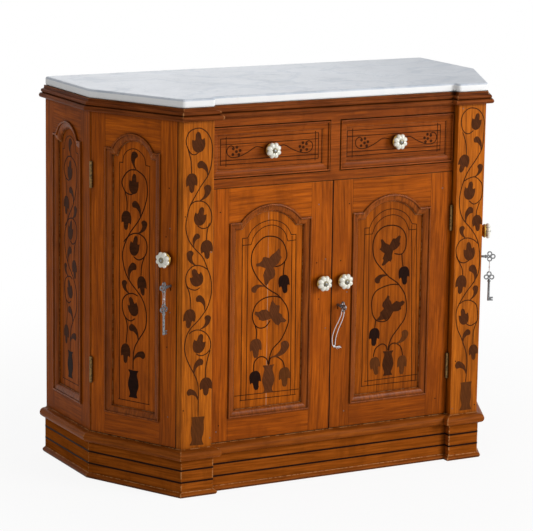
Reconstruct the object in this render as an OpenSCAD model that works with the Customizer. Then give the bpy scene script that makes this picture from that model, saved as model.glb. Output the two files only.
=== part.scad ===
// Marble-topped side cabinet with canted ends: two frieze drawers over a pair of
// arched-panel doors between inlaid pilasters, and one more door in each cant.
// Frame: X to the right seen from the front, Y towards the back, Z up.
// Origin: middle of the footprint box, at floor level. The front faces -Y.

/* [Carcass] */
// Width over the two flat sides
body_w = 1020; // [940:10:1100]
// Depth from the pilaster fronts to the back edge
body_d = 486; // [450:2:560]
// Sideways run of each canted end
cant_run = 117; // [100:1:140]
// Front-to-back depth of each canted end
cant_depth = 238; // [210:1:255]
// Width of a pilaster front
pilaster_w = 75; // [60:1:90]
// How far doors, drawers and rails stand back from the pilasters
recess = 18; // [16:1:24]
// Thickness of the side frames and partitions
board_t = 20; // [18:1:22]
// Thickness of the back boards
back_t = 14; // [8:1:18]
// Thickness of shelves and runners
shelf_t = 18; // [14:1:22]

/* [Heights] */
// Top of the bottom board, where the doors start
floor_z = 110; // [100:1:130]
// Thickness of the bottom board
floor_t = 20; // [16:1:24]
// Underside of the cornice above the bottom board
front_h = 742; // [700:2:800]
// Height of the cornice and of the top board inside it
cornice_h = 28; // [22:1:34]
// Thickness of the marble slab
marble_t = 20; // [16:1:28]
// Height of the top rail and of the rail under the drawers
rail_h = 20; // [16:1:26]
// Height of the drawer openings
drawer_open_h = 118; // [100:1:140]
// Underside of the shelves above the bottom board
shelf_rise = 290; // [240:5:330]
// How far the shelves stand back from the doors' faces
shelf_back = 60; // [55:1:80]

/* [Mouldings] */
// Overhang of the cornice
cornice_out = 17; // [12:1:22]
// Overhang of the round bead on the plinth
bead_out = 18; // [12:1:22]
// Height of the plinth bead
bead_h = 26; // [22:1:30]
// How far the plinth boards stand proud of the body
plinth_out = 3.5; // [2:0.5:5]
// Thickness of the plinth boards
plinth_t = 22; // [16:1:26]
// Overhang of the foot moulding
foot_out = 11; // [8:1:14]
// Height of the foot moulding
foot_h = 12; // [8:1:16]
// Overhang of the marble beyond the body
marble_out = 3; // [1:0.5:6]
// Rounding of the marble's upright corners
marble_corner = 9; // [6:1:14]
// Rounding of the marble's long edges
marble_edge = 5; // [3:0.5:7]

/* [Doors] */
// Thickness of a door frame
door_t = 20; // [18:0.5:20]
// Gap between a door and what it closes against
gap = 1.5; // [1.5:0.25:2.5]
// Gap at a hinged edge
hinge_gap = 2; // [2:0.25:2.5]
// Where the two centre doors meet, from the middle
meeting_x = -3; // [-6:1:6]
// Stile at the hinge of the left centre door
left_hinge_stile = 48; // [44:1:60]
// Stile at the hinge of the right centre door
right_hinge_stile = 57; // [44:1:60]
// Meeting stile of the left centre door
left_meeting_stile = 55; // [48:1:60]
// Meeting stile of the right centre door
right_meeting_stile = 52; // [48:1:60]
// Stile at the hinge of a side door
side_hinge_stile = 40; // [36:1:46]
// Stile at the free edge of a side door
side_free_stile = 46.5; // [44:0.5:50]
// Rear stile of a fixed side
rear_stile = 46; // [40:1:50]
// Front stile of a fixed side
front_stile = 45; // [40:1:50]
// Canted nose of a fixed side, in front of its corner
nose_w = 3; // [2.5:0.5:4]
// Canted strip of a pilaster beside its side door
strip_w = 15; // [14:0.5:18]
// Depth of a pilaster post
post_d = 53; // [50:1:60]
// Width of the stop behind a side door's free edge
stop_w = 8; // [6:0.5:8.5]
// Thickness of that stop
stop_t = 6; // [4:0.5:6]
// Bottom rail of every frame, to the opening
bottom_rail = 52; // [46:1:70]
// From a centre door's top edge to the crown of its arch
centre_top_rail = 42; // [36:1:50]
// From a side door's top edge to the crown of its arch
side_top_rail = 39; // [36:1:50]
// Shoulder on each side of the arch in a centre door
centre_shoulder = 27; // [22:0.5:36]
// Shoulder on each side of the arch in a side door or a side
side_shoulder = 19; // [18:0.5:24]
// Rise of every arch above its shoulders
arch_rise = 37; // [30:1:42]
// How far a panel lies behind its frame
panel_sink = 8; // [6:0.5:9]
// Thickness of a panel
panel_t = 7; // [5:0.5:8]
// How far a panel reaches into its groove
tongue = 8; // [5:1:10]
// Play of a panel in its groove
groove_play = 0.2; // [0.1:0.05:0.4]
// Width of the moulding round a panel
trim_w = 18; // [12:0.5:20]
// How far its outer bead stands proud of the frame
trim_proud = 4.5; // [3:0.5:6]
// Width of that outer bead
trim_bead = 4; // [3:0.5:5]

/* [Drawers] */
// Width of the mullion between the drawers
mullion_w = 24; // [18:1:30]
// Gap all round a drawer front
drawer_gap = 2; // [1.5:0.25:2.5]
// Thickness of a drawer front at its field
drawer_front_t = 14; // [12:1:18]
// How far the field lies behind the rails
drawer_sink = 6; // [4:0.5:8]
// Width of the moulding round a drawer front
drawer_trim_w = 18; // [15:1:22]
// How far that moulding stands proud of the rails
drawer_proud = 2; // [1:0.5:4]
// Thickness of the drawer sides and back
drawer_side_t = 12; // [8:1:14]
// Thickness of the drawer bottom
drawer_bottom_t = 6; // [5:1:9]
// Room over the drawer sides
drawer_headroom = 6; // [4:1:12]
// Room behind a closed drawer
drawer_rear_gap = 39; // [10:1:90]

/* [Knobs and hinges] */
// Diameter of a melon knob
knob_d = 37; // [32:1:40]
// Thickness of a melon knob
knob_t = 18; // [15:1:20]
// Lobes round a melon knob
knob_lobes = 8; // [6:1:10]
// Height of the brass cup behind a knob
cup_t = 5; // [4:0.5:7]
// Diameter of a knob's through-bolt
bolt_d = 4; // [3:0.5:5]
// Distance of a centre knob from the meeting edge
knob_inset = 27; // [24:1:32]
// Distance of a side door's knob from its free edge
side_knob_inset = 26; // [24:1:32]
// Height of the centre knobs above the bottom board
centre_knob_rise = 349; // [300:1:400]
// Height of the side knobs above the bottom board
side_knob_rise = 431; // [400:1:460]
// Length of a butt hinge
hinge_l = 60; // [50:1:70]
// Diameter of a hinge knuckle
knuckle_d = 7; // [6:0.5:8]
// Diameter of a hinge pin
hinge_pin_d = 3; // [2.5:0.5:3.5]
// Radial play of a hinge pin
pin_play = 0.05; // [0.03:0.01:0.08]
// Thickness of a hinge leaf
leaf_t = 1.5; // [1.2:0.1:1.8]
// Depth of a hinge leaf
leaf_d = 18; // [14:1:19]
// Middle of a centre door's upper hinge below the door's top
centre_hinge_drop = 109; // [90:1:140]
// Middle of a centre door's lower hinge above its bottom
centre_hinge_rise = 117; // [90:1:140]
// Middle of a side door's upper hinge below the door's top
side_hinge_drop = 143; // [100:1:160]
// Middle of a side door's lower hinge above its bottom
side_hinge_rise = 145; // [100:1:160]

/* [Locks and keys] */
// Distance of a keyhole from the door's edge
key_inset = 17; // [17:1:20]
// Height of the centre keyhole above the bottom board
centre_key_rise = 292; // [280:1:310]
// Height of the side keyholes above the bottom board
side_key_rise = 371; // [350:1:380]
// Length of a key
key_l = 71; // [66:1:76]
// How far a key's tip lies behind the door's face
key_in = 33; // [31:1:34]
// Diameter of a key's shank
shank_d = 5.5; // [4.5:0.5:6]
// Reach of a key's bit beyond the shank
bit_reach = 8; // [6:0.5:9]
// Length of a key's bit
bit_l = 9; // [6:1:10]
// Thickness of a key's bow
bow_t = 2.4; // [2:0.1:2.8]
// Thickness of a lock case
case_t = 18; // [18:1:20]
// Wall of a lock case
case_wall = 1.5; // [1:0.25:2]
// How far the centre lock's case stands back from the door's edge
case_back = 2.5; // [2:0.25:3]
// How far a side lock's case stands back from the door's edge, clear of the stop
side_case_back = 9.5; // [9.5:0.25:10]
// Length of a lock case
case_l = 42; // [38:1:44]
// How far a lock case reaches below the key
case_under = 16; // [15:1:20]
// How far a lock case reaches above the key
case_over = 30; // [28:1:34]
// Height of a lock bolt
bolt_h = 12; // [8:1:12]
// Thickness of a lock bolt
bolt_t = 7; // [5:0.5:8]
// Length of a lock bolt
bolt_l = 34; // [28:1:36]
// Travel of a lock bolt
bolt_throw = 8; // [6:0.5:9]

/* [Strings] */
// Diameter of the string loop on the centre key
string_d = 1.6; // [1.2:0.1:1.8]
// Diameter of the ties that hold the spare keys
tie_d = 1.2; // [0.9:0.1:1.4]

/* [Hidden] */
$fn = 48;

// Woods, stone and metals as the eye sees them
TEAK = "#9a4b17";
DARK_TEAK = "#7c3a14";
HONEY = "#a8571b";
MARBLE = "#e9ebee";
PORCELAIN = "#e6e2d4";
BRASS = "#a58a4f";
IRON = "#6d6f72";
THREAD = "#d9d6cf";

// Plan of the body: it steps back between the pilasters, and its corners are canted
half_w = body_w / 2;
front_reach = max(cornice_out, bead_out, key_l - key_in - recess);
front_y = -(body_d - front_reach) / 2;
back_y = front_y + body_d;
door_y = front_y + recess;
cant_y = front_y + cant_depth;
pil_out = half_w - cant_run;
pil_in = pil_out - pilaster_w;
cant_len = norm([cant_run, cant_depth]);
cant_turn = atan2(cant_depth, cant_run);
strip_s = cant_len - strip_w;
part_in = pil_in + board_t;
side_in = half_w - board_t;
board_joint = 0.5;
mitre_joint = 0.05;
back_in = back_y - back_t;
plan = [
    [half_w, back_y], [half_w, cant_y], [pil_out, front_y], [pil_in, front_y], [pil_in, door_y],
    [-pil_in, door_y], [-pil_in, front_y], [-pil_out, front_y], [-half_w, cant_y], [-half_w, back_y]];
last = len(plan) - 1;

// Heights
top_z = floor_z + front_h;
slab_z = top_z + cornice_h;
drawer_z1 = top_z - rail_h;
drawer_z0 = drawer_z1 - drawer_open_h;
rail_z = drawer_z0 - rail_h;
shelf_z = floor_z + shelf_rise;
plinth_top = floor_z - floor_t;

// Doors: sizes seen from outside
door_z = floor_z + gap;
centre_h = rail_z - floor_z - 2 * gap;
side_h = front_h - 2 * gap;
left_w = pil_in + meeting_x - gap / 2 - hinge_gap;
right_w = pil_in - meeting_x - gap / 2 - hinge_gap;
side_w = strip_s - nose_w - hinge_gap - gap;
side_frame_w = body_d - cant_depth;
left_open_w = left_w - left_hinge_stile - left_meeting_stile;
right_open_w = right_w - right_hinge_stile - right_meeting_stile;
side_open_w = side_w - side_hinge_stile - side_free_stile;
fixed_open_w = side_frame_w - rear_stile - front_stile;

// Drawers
drawer_w = pil_in - mullion_w / 2 - 2 * drawer_gap;
drawer_h = drawer_open_h - 2 * drawer_gap;
drawer_back = drawer_sink + drawer_front_t;
drawer_box_d = back_in - door_y - drawer_back - drawer_rear_gap;
drawer_side_h = drawer_open_h - drawer_headroom;
ride_play = 0.3;
runner_w = 18;
guide_h = 10;
rail_d = 45;

// Hinges: each knuckle stands in front of its door's face
knuckle_r = knuckle_d / 2;
pin_x = knuckle_r + 0.3 - hinge_gap;
pin_z = knuckle_r + 0.2;
leaf_gap = 0.5;
leaf_let = leaf_t - (hinge_gap - leaf_gap) / 2;
knuckles = 5;
knuckle_play = 0.1;
fit = 0.1;

// Knobs
bolt_r = bolt_d / 2;
bolt_play = 0.3;
lobe_r = knob_t / 2;
melon_seat = 1.5;
melon_core = lobe_r - melon_seat;
cup_r = 9;
rosette_r = 5.5;
rosette_t = 3.5;
nut_t = 3.5;

// Keys and locks
shank_r = shank_d / 2;
key_play = 0.3;
bow_lobe_r = 6;
bow_hole_r = 3.4;
bow_side = 6.5;
bow_top = 14;
bow_z = key_l - key_in - bow_top - bow_lobe_r;
rim_mid = (bow_lobe_r + bow_hole_r) / 2;
rim_low = bow_side + rim_mid;
rim_z = bow_z + bow_lobe_r;
bolt_play_r = 0.3;
bolt_rise = shank_r + bit_reach + 2.25;
bolt_depth = door_t + case_wall + 0.5;
stop_play = 0.5;
side_bolt_depth = door_t + stop_play + stop_t + 1;

past = 1;

// Strings, from the low rim of a bow: x to the right, y up, z outwards
string_route = [
    [-0.2, 3.3, 0], [-1.8, 2.8, 0], [-2.9, 1.6, 0], [-3.3, 0, 0], [-3.4, -4, -0.5],
    [-4, -10, -2], [-6, -18, -4.5], [-8.5, -26, -7], [-11, -34, -10], [-13, -42, -13],
    [-14.3, -50, -16], [-15, -58, -18.8], [-15, -66, -21], [-14, -74, -22.4], [-13, -80, -22.9],
    [-12, -83.5, -22.9], [-9.5, -86, -22.9], [-6.5, -84.5, -22.9], [-5.5, -81, -22.9],
    [-5.5, -74, -22.2], [-5.5, -66, -20.6], [-5, -58, -18.2], [-4, -50, -15.4], [-3, -42, -12.4],
    [-1, -34, -9.6], [1, -26, -6.8], [2.5, -18, -4.2], [3.2, -10, -2], [3.4, -4, -0.5],
    [3.3, 0, 0], [2.9, 1.6, 0], [1.8, 2.8, 0], [0.2, 3.3, 0]];
tie_drop = 26;
tie_route = [
    [-0.2, 2.8, 0], [-1.5, 2.4, 0], [-2.4, 1.4, 0], [-2.8, 0, 0], [-2.8, -4.5, 0], [-2.3, -10, 0],
    [-2.1, -16, 0], [-2.5, -21.5, 0], [-2.8, -26, 0], [-2.4, -27.4, 0], [-1.4, -28.4, 0],
    [0, -28.8, 0], [1.4, -28.4, 0], [2.4, -27.4, 0], [2.8, -26, 0], [2.5, -21.5, 0],
    [2.7, -16, 0], [2.4, -10, 0], [2.8, -4.5, 0], [2.8, 0, 0], [2.4, 1.4, 0], [1.5, 2.4, 0],
    [0.2, 2.8, 0]];

// ---- Plan geometry ----
function unit(v) = v / norm(v);
function edge_dir(i) = unit(plan[(i + 1) % len(plan)] - plan[i]);
function edge_out(i) = [-edge_dir(i).y, edge_dir(i).x];
// Corner between two edges moved out by d1 and d2
function moved_corner(p, n1, n2, d1, d2) =
    let (c = n1 * n2) p + ((d1 - d2 * c) * n1 + (d2 - d1 * c) * n2) / (1 - c * c);
function off(i, d) =
    i == 0 ? plan[0] + d * edge_out(0)
    : i == last ? plan[last] + d * edge_out(last - 1)
    : moved_corner(plan[i], edge_out(i - 1), edge_out(i), d, d);
function arc(c, r, a0, a1, n) =
    [for (k = [0:n]) c + r * [cos(a0 + (a1 - a0) * k / n), sin(a0 + (a1 - a0) * k / n)]];

// A point of the right cant: s from its rear corner to the pilaster, depth inwards
function cant_point(s, depth) =
    [half_w, cant_y] + s * edge_dir(1) - depth * edge_out(1);
post_corner = cant_point(strip_s, 2 * board_t + 0.5);

// One mitred length along edge i of the plan; the profile has x outwards and y up
module length_on(i, inner, outer) {
    reach = inner + outer;
    a = plan[i] - edge_dir(i) * reach;
    e = edge_dir(i) * mitre_joint;
    intersection() {
        translate([a.x, a.y, 0]) rotate([90, 0, atan2(edge_out(i).y, edge_out(i).x)])
            linear_extrude(norm(plan[i + 1] - plan[i]) + 2 * reach) children();
        translate([0, 0, -past]) linear_extrude(slab_z + 2 * past)
            polygon([off(i, -inner) + e, off(i, outer) + e, off(i + 1, outer) - e, off(i + 1, -inner) - e]);
    }
}

module lengths_all_round(inner, outer) {
    for (i = [0:last - 1]) length_on(i, inner, outer) children();
}

// Outline of the slab, with each corner rounded, drawn in by inset
function slab_corner(i, inset) =
    let (
        n1 = edge_out((i + last) % len(plan)),
        n2 = edge_out(i),
        flush = marble_out,
        d1 = marble_out - inset - (i == 0 ? flush : 0),
        d2 = marble_out - inset - (i == last ? flush : 0),
        convex = cross(n1, n2) < 0,
        r = convex ? marble_corner - inset : 3 + inset,
        side = convex ? 1 : -1,
        c = moved_corner(plan[i], n1, n2, d1 - side * r, d2 - side * r),
        a1 = atan2(n1.y, n1.x),
        turn = atan2(n2.y, n2.x) - a1,
        sweep = turn > 180 ? turn - 360 : turn < -180 ? turn + 360 : turn)
    [for (k = [0:4]) c + side * r * [cos(a1 + sweep * k / 4), sin(a1 + sweep * k / 4)]];
function slab_outline(inset) = [for (i = [0:last]) each slab_corner(i, inset)];

// ---- Placing: local x to the right seen from outside, y up, z outwards ----
module on_front(x, z) {
    translate([x, door_y, z]) rotate([90, 0, 0]) children();
}
module on_left_cant() {
    translate([-half_w, cant_y, door_z]) rotate([90, 0, -cant_turn])
        translate([nose_w + hinge_gap, 0, 0]) children();
}
module on_left_side() {
    translate([-half_w, back_y, floor_z]) rotate([90, 0, -90]) children();
}
module mirrored() {
    mirror([1, 0, 0]) children();
}
module both_sides() {
    children();
    mirrored() children();
}
module on_left_door() {
    on_front(-pil_in + hinge_gap, door_z) children();
}
// The right door's x runs from its hinge too
module on_right_door() {
    mirrored() on_front(-pil_in + hinge_gap, door_z) children();
}

// ---- Arched openings and their mouldings ----
function arch_r(chord, rise) = (chord * chord / 4 + rise * rise) / (2 * rise);

module arched(w, shoulder, chord) {
    r = arch_r(chord, arch_rise);
    square([w, shoulder]);
    intersection() {
        translate([w / 2, shoulder + arch_rise - r]) circle(r, $fn = 120);
        translate([(w - chord) / 2, shoulder - past]) square([chord, arch_rise + 2 * past]);
    }
}

// Section of a moulding: a bead on the outer edge, a quirk, then an ovolo down to its foot
function trim_section(w, high, bead) =
    let (r = bead / 2, foot = 2, quirk = high - r - 1.2)
    concat(
        [[0, 0]],
        arc([r, high - r], r, 180, 0, 6),
        [for (k = [0:6]) [bead + (w - bead - 1) * sin(15 * k), foot + (quirk - foot) * cos(15 * k)]],
        [[w, foot], [w, 0]]);

// A straight length from a to b with the panel on its left, mitred at ia and ib
module trim_length(a, b, ia, ib, section) {
    t = unit(b - a);
    reach = 30;
    start = a - t * reach;
    intersection() {
        translate([start.x, start.y, 0]) rotate([90, 0, atan2(t.x, -t.y)])
            linear_extrude(norm(b - a) + 2 * reach) polygon(section);
        translate([0, 0, -past]) linear_extrude(40)
            polygon([a + 0.2 * (a - ia), b + 0.2 * (b - ib), ib + 0.2 * (ib - b), ia + 0.2 * (ia - a)]);
    }
}

module rect_moulding(w, h, wide, section) {
    o = [[0, 0], [w, 0], [w, h], [0, h]];
    n = [[wide, wide], [w - wide, wide], [w - wide, h - wide], [wide, h - wide]];
    for (k = [0:3]) trim_length(o[k], o[(k + 1) % 4], n[k], n[(k + 1) % 4], section);
}

module arched_moulding(w, shoulder, chord) {
    section = trim_section(trim_w, panel_sink + trim_proud, trim_bead);
    r = arch_r(chord, arch_rise);
    slit = [mitre_joint, 0];
    mid = w / 2;
    low = shoulder - trim_w;
    jx = sqrt(pow(r - trim_w, 2) - pow(r - arch_rise - trim_w, 2));
    o = [[0, 0], [w, 0], [w, shoulder], [mid + chord / 2, shoulder], [mid - chord / 2, shoulder],
         [0, shoulder]];
    n = [[trim_w, trim_w], [w - trim_w, trim_w], [w - trim_w, low], [mid + jx, low], [mid - jx, low],
         [trim_w, low]];
    for (k = [0, 1, 2, 4, 5]) trim_length(o[k], o[(k + 1) % 6], n[k], n[(k + 1) % 6], section);
    intersection() {
        translate([mid, shoulder + arch_rise - r, 0]) rotate_extrude($fn = 120)
            polygon([for (p = section) [r - p.x, p.y]]);
        translate([0, 0, -past]) linear_extrude(40)
            polygon([
                n[4] + 0.2 * (n[4] - o[4]) + slit, o[4] + 2 * (o[4] - n[4]) + slit,
                [-10, shoulder + 3 * arch_rise],
                [w + 10, shoulder + 3 * arch_rise], o[3] + 2 * (o[3] - n[3]) - slit,
                n[3] + 0.2 * (n[3] - o[3]) - slit, [mid, low - 20]]);
    }
}

// ---- Framed doors and sides ----
// Stiles and rails round an arched opening, grooved for the panel
module frame_boards(w, h, stile, open_w, low, high, chord) {
    crown = h - low - high;
    difference() {
        union() {
            translate([0, 0, -door_t]) cube([stile, h, door_t]);
            translate([stile + open_w, 0, -door_t]) cube([w - stile - open_w, h, door_t]);
        }
        panel_slot(stile, open_w, low, crown);
    }
    difference() {
        translate([stile, 0, -door_t]) cube([open_w, low, door_t]);
        panel_slot(stile, open_w, low, crown);
    }
    difference() {
        translate([stile, h - high - arch_rise, -door_t]) cube([open_w, high + arch_rise, door_t]);
        translate([stile, low, -door_t - past]) linear_extrude(door_t + 2 * past)
            arched(open_w, crown - arch_rise, chord);
        panel_slot(stile, open_w, low, crown);
    }
}

module panel_slot(stile, open_w, low, crown) {
    reach = tongue + groove_play;
    translate([stile - reach, low - reach, -panel_sink - panel_t - groove_play])
        cube([open_w + 2 * reach, crown + 2 * reach, panel_t + 2 * groove_play]);
}

module panel_board(h, stile, open_w, low, high) {
    translate([stile - tongue, low - tongue, -panel_sink - panel_t])
        cube([open_w + 2 * tongue, h - low - high + 2 * tongue, panel_t]);
}

module panel_moulding(h, stile, open_w, low, high, chord) {
    translate([stile + fit, low + fit, -panel_sink])
        arched_moulding(open_w - 2 * fit, h - low - high - arch_rise - 2 * fit, chord - 2 * fit);
}

// Pockets for the hinges, a hole for the knob's bolt and a keyhole
module door_cuts(w, h, rise, drop, knob_x, knob_y, key_y) {
    for (y = [rise, h - drop])
        translate([-past, y - hinge_l / 2 - fit, -leaf_d - fit])
            cube([past + leaf_let, hinge_l + 2 * fit, leaf_d + fit + past]);
    translate([knob_x, knob_y, -door_t - past]) cylinder(r = bolt_r + bolt_play, h = door_t + 2 * past);
    if (key_y > 0) translate([w - key_inset, key_y, -door_t - past]) keyhole_cut(door_t + 2 * past);
}

module keyhole_cut(h) {
    cylinder(r = shank_r + key_play, h = h);
    translate([-bow_t / 2 - key_play, -shank_r - bit_reach - key_play, 0])
        cube([bow_t + 2 * key_play, shank_r + bit_reach + key_play, h]);
}

module centre_frame(w, stile, open_w, key_y) {
    difference() {
        frame_boards(w, centre_h, stile, open_w, bottom_rail, centre_top_rail,
            open_w - 2 * centre_shoulder);
        door_cuts(w, centre_h, centre_hinge_rise, centre_hinge_drop, w - knob_inset,
            centre_knob_rise - gap, key_y);
    }
}
module centre_panel(stile, open_w) {
    panel_board(centre_h, stile, open_w, bottom_rail, centre_top_rail);
}
module centre_moulding(stile, open_w) {
    panel_moulding(centre_h, stile, open_w, bottom_rail, centre_top_rail,
        open_w - 2 * centre_shoulder);
}
module centre_knob_place(w) {
    translate([w - knob_inset, centre_knob_rise - gap, 0]) children();
}

module side_frame() {
    difference() {
        frame_boards(side_w, side_h, side_hinge_stile, side_open_w, bottom_rail, side_top_rail,
            side_open_w - 2 * side_shoulder);
        door_cuts(side_w, side_h, side_hinge_rise, side_hinge_drop, side_w - side_knob_inset,
            side_knob_rise - gap, side_key_rise - gap);
    }
}
module side_panel() {
    panel_board(side_h, side_hinge_stile, side_open_w, bottom_rail, side_top_rail);
}
module side_moulding() {
    panel_moulding(side_h, side_hinge_stile, side_open_w, bottom_rail, side_top_rail,
        side_open_w - 2 * side_shoulder);
}
module side_knob_place() {
    translate([side_w - side_knob_inset, side_knob_rise - gap, 0]) children();
}
module side_key_place() {
    translate([side_w - key_inset, side_key_rise - gap, 0]) children();
}
module centre_key_place() {
    translate([right_w - key_inset, centre_key_rise - gap, 0]) children();
}

// ---- Hinges, in a door's own place ----
module at_hinges(h, rise, drop) {
    for (y = [rise, h - drop]) translate([0, y - hinge_l / 2, 0]) children();
}

// Turned so that a cylinder stands along the pin
module along_pin(y) {
    translate([pin_x, y, pin_z]) rotate([-90, 0, 0]) children();
}

module frame_leaf() {
    step = hinge_l / knuckles;
    inner = -hinge_gap - leaf_let;
    translate([inner, 0, -leaf_d]) cube([leaf_t, hinge_l, leaf_d]);
    for (k = [0:2:knuckles - 1]) {
        along_pin(k * step + knuckle_play / 2) cylinder(r = knuckle_r, h = step - knuckle_play);
        translate([inner, k * step + knuckle_play / 2, -past])
            cube([leaf_t, step - knuckle_play, pin_z + past]);
    }
    along_pin(0) cylinder(d = hinge_pin_d, h = hinge_l);
}

module door_leaf() {
    step = hinge_l / knuckles;
    translate([leaf_let - leaf_t, 0, -leaf_d]) cube([leaf_t, hinge_l, leaf_d]);
    for (k = [1:2:knuckles - 1]) difference() {
        union() {
            along_pin(k * step + knuckle_play / 2) cylinder(r = knuckle_r, h = step - knuckle_play);
            translate([leaf_let - leaf_t, k * step + knuckle_play / 2, -past])
                cube([leaf_t, step - knuckle_play, past + 1.5]);
        }
        along_pin(k * step - past) cylinder(d = hinge_pin_d + 2 * pin_play, h = step + 2 * past);
    }
}

// Room for a frame leaf, in what carries it
module frame_leaf_cut() {
    translate([-hinge_gap - leaf_let, -fit, -leaf_d - fit])
        cube([leaf_let + past, hinge_l + 2 * fit, leaf_d + pin_z + 2 * fit]);
}

// ---- Knobs, with z outwards from the wood ----
module melon_knob() {
    difference() {
        union() {
            for (k = [0:knob_lobes - 1]) rotate([0, 0, 360 * (k + 0.5) / knob_lobes])
                translate([knob_d / 2 - lobe_r, 0, cup_t + lobe_r]) sphere(r = lobe_r);
            translate([0, 0, cup_t + lobe_r - melon_core])
                cylinder(r = knob_d / 2 - lobe_r, h = 2 * melon_core);
        }
        translate([0, 0, cup_t - past]) cylinder(r = knob_d, h = past + melon_seat);
        cylinder(r = bolt_r + bolt_play, h = cup_t + knob_t + past);
        translate([0, 0, cup_t + lobe_r + melon_core - past])
            cylinder(r = rosette_r + bolt_play, h = lobe_r);
    }
}

// Cup behind the knob, rosette before it, and the bolt with its nut behind the wood
module knob_bolt(wood_t) {
    nose = cup_t + lobe_r + melon_core - past;
    translate([0, 0, -wood_t - nut_t]) cylinder(r = bolt_r, h = wood_t + nut_t + nose + past);
    translate([0, 0, -wood_t - nut_t]) cylinder(r = 2 * bolt_r, h = nut_t, $fn = 6);
    rotate_extrude() polygon([
        [0, 0], [cup_r, 0], [cup_r, 1], [cup_r - 2.5, 2], [cup_r - 4, 3], [cup_r - 1.5, cup_t],
        [cup_r - 0.5, cup_t + melon_seat], [0, cup_t + melon_seat]]);
    translate([0, 0, nose]) rotate_extrude() polygon([
        [0, 0], [rosette_r, 0], [rosette_r, 1.4], [rosette_r - 1.2, 2.4], [rosette_r - 2.6, 2.7],
        [rosette_r - 3.4, rosette_t + 0.6], [0, rosette_t + 1]]);
}

// ---- Locks and keys, with z outwards from the door's face ----
module bow_outline() {
    difference() {
        union() {
            translate([0, bow_z + bow_top]) circle(bow_lobe_r);
            for (s = [-1, 1]) translate([s * bow_side, bow_z + bow_lobe_r]) circle(bow_lobe_r);
            translate([0, bow_z + bow_lobe_r + 2]) circle(4);
        }
        translate([0, bow_z + bow_top]) circle(bow_hole_r);
        for (s = [-1, 1]) translate([s * bow_side, bow_z + bow_lobe_r]) circle(bow_hole_r);
    }
}

module key_shape() {
    translate([0, 0, -key_in]) cylinder(r = shank_r, h = key_in + bow_z + 2);
    translate([0, 0, bow_z - 5]) cylinder(r = shank_r + 1.2, h = 3);
    translate([-bow_t / 2, 0, 0]) rotate([90, 0, 90]) linear_extrude(bow_t) bow_outline();
    difference() {
        translate([-bow_t / 2, -shank_r - bit_reach, -key_in]) cube([bow_t, shank_r + bit_reach, bit_l]);
        translate([-bow_t, -shank_r - bit_reach - past, -key_in + bit_l / 3])
            cube([2 * bow_t, bit_reach / 2 + past, bit_l / 4]);
    }
}

// A spare key hangs by its top lobe, in the plane of the other key's bow
module spare_key(turn) {
    translate([0, -rim_low - tie_drop, rim_z]) rotate([-90, 0, 0]) rotate([0, 0, turn])
        translate([0, 0, -bow_z - bow_top - rim_mid]) key_shape();
}

module lock_case(back, depth) {
    difference() {
        translate([-case_l, -case_under, -door_t - case_t]) cube([case_l, case_under + case_over, case_t]);
        translate([-case_l + case_wall, -case_under + case_wall, -door_t - case_t + case_wall])
            cube([case_l - 2 * case_wall, case_under + case_over - 2 * case_wall, case_t - 2 * case_wall]);
        translate([-case_wall - past, bolt_rise - bolt_play_r, -depth - bolt_t - bolt_play_r])
            cube([case_wall + 2 * past, bolt_h + 2 * bolt_play_r, bolt_t + 2 * bolt_play_r]);
        translate([back - key_inset, 0, -door_t - case_wall - past]) keyhole_cut(case_wall + 2 * past);
    }
}

// A bolt drawn back, its end level with its case
module lock_bolt(depth) {
    translate([-bolt_l, bolt_rise, -depth - bolt_t]) cube([bolt_l, bolt_h, bolt_t]);
}

module side_lock_place() {
    translate([side_w - side_case_back, side_key_rise - gap, 0]) children();
}
module centre_lock_place() {
    translate([right_w - case_back, centre_key_rise - gap, 0]) children();
}

// ---- Strings ----
function tube_dir(p, i) = unit(p[min(i + 1, len(p) - 1)] - p[max(i - 1, 0)]);
// The points, with one more between any two that lie far apart
function filled(p) = [
    for (i = [0:len(p) - 1]) each
        i < len(p) - 1 && i > 0 && norm(p[i + 1] - p[i]) > 5
        ? [p[i], (9 * (p[i] + p[i + 1]) - p[i - 1] - p[min(i + 2, len(p) - 1)]) / 16]
        : [p[i]]];

module tube(p, d) {
    n = len(p);
    s = 8;
    rings = [for (i = [0:n - 1])
        let (t = tube_dir(p, i), a = unit(cross(t, [0, 0, 1])), b = cross(t, a))
        for (k = [0:s - 1]) p[i] + d / 2 * (cos(360 * k / s) * a + sin(360 * k / s) * b)];
    polyhedron(rings, concat(
        [[for (k = [0:s - 1]) k]],
        [for (i = [0:n - 2], k = [0:s - 1]) each [
            [i * s + k, (i + 1) * s + (k + 1) % s, i * s + (k + 1) % s],
            [i * s + k, (i + 1) * s + k, (i + 1) * s + (k + 1) % s]]],
        [[for (k = [0:s - 1]) n * s - 1 - k]]));
}

module at_low_rim() {
    translate([0, -rim_low, rim_z]) children();
}

// ---- Carcass pieces ----
module marble_top() color(MARBLE) {
    steps = 4;
    low = [for (k = [0:steps]) [slab_z + marble_edge * (1 - cos(90 * k / steps)),
        marble_edge * (1 - sin(90 * k / steps))]];
    high = [for (k = [0:steps]) [slab_z + marble_t - marble_edge * (1 - sin(90 * k / steps)),
        marble_edge * (1 - cos(90 * k / steps))]];
    rings = concat(low, high);
    m = len(rings);
    n = len(slab_outline(0));
    polyhedron(
        [for (q = rings) each [for (p = slab_outline(q.y)) [p.x, p.y, q.x]]],
        concat(
            [[for (k = [0:n - 1]) n - 1 - k]],
            [for (i = [0:m - 2], k = [0:n - 1]) each [
                [i * n + k, i * n + (k + 1) % n, (i + 1) * n + (k + 1) % n],
                [i * n + k, (i + 1) * n + (k + 1) % n, (i + 1) * n + k]]],
            [[for (k = [0:n - 1]) (m - 1) * n + k]]));
}

module top_board() color(TEAK)
    translate([0, 0, top_z]) linear_extrude(cornice_h) polygon(plan);

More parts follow.
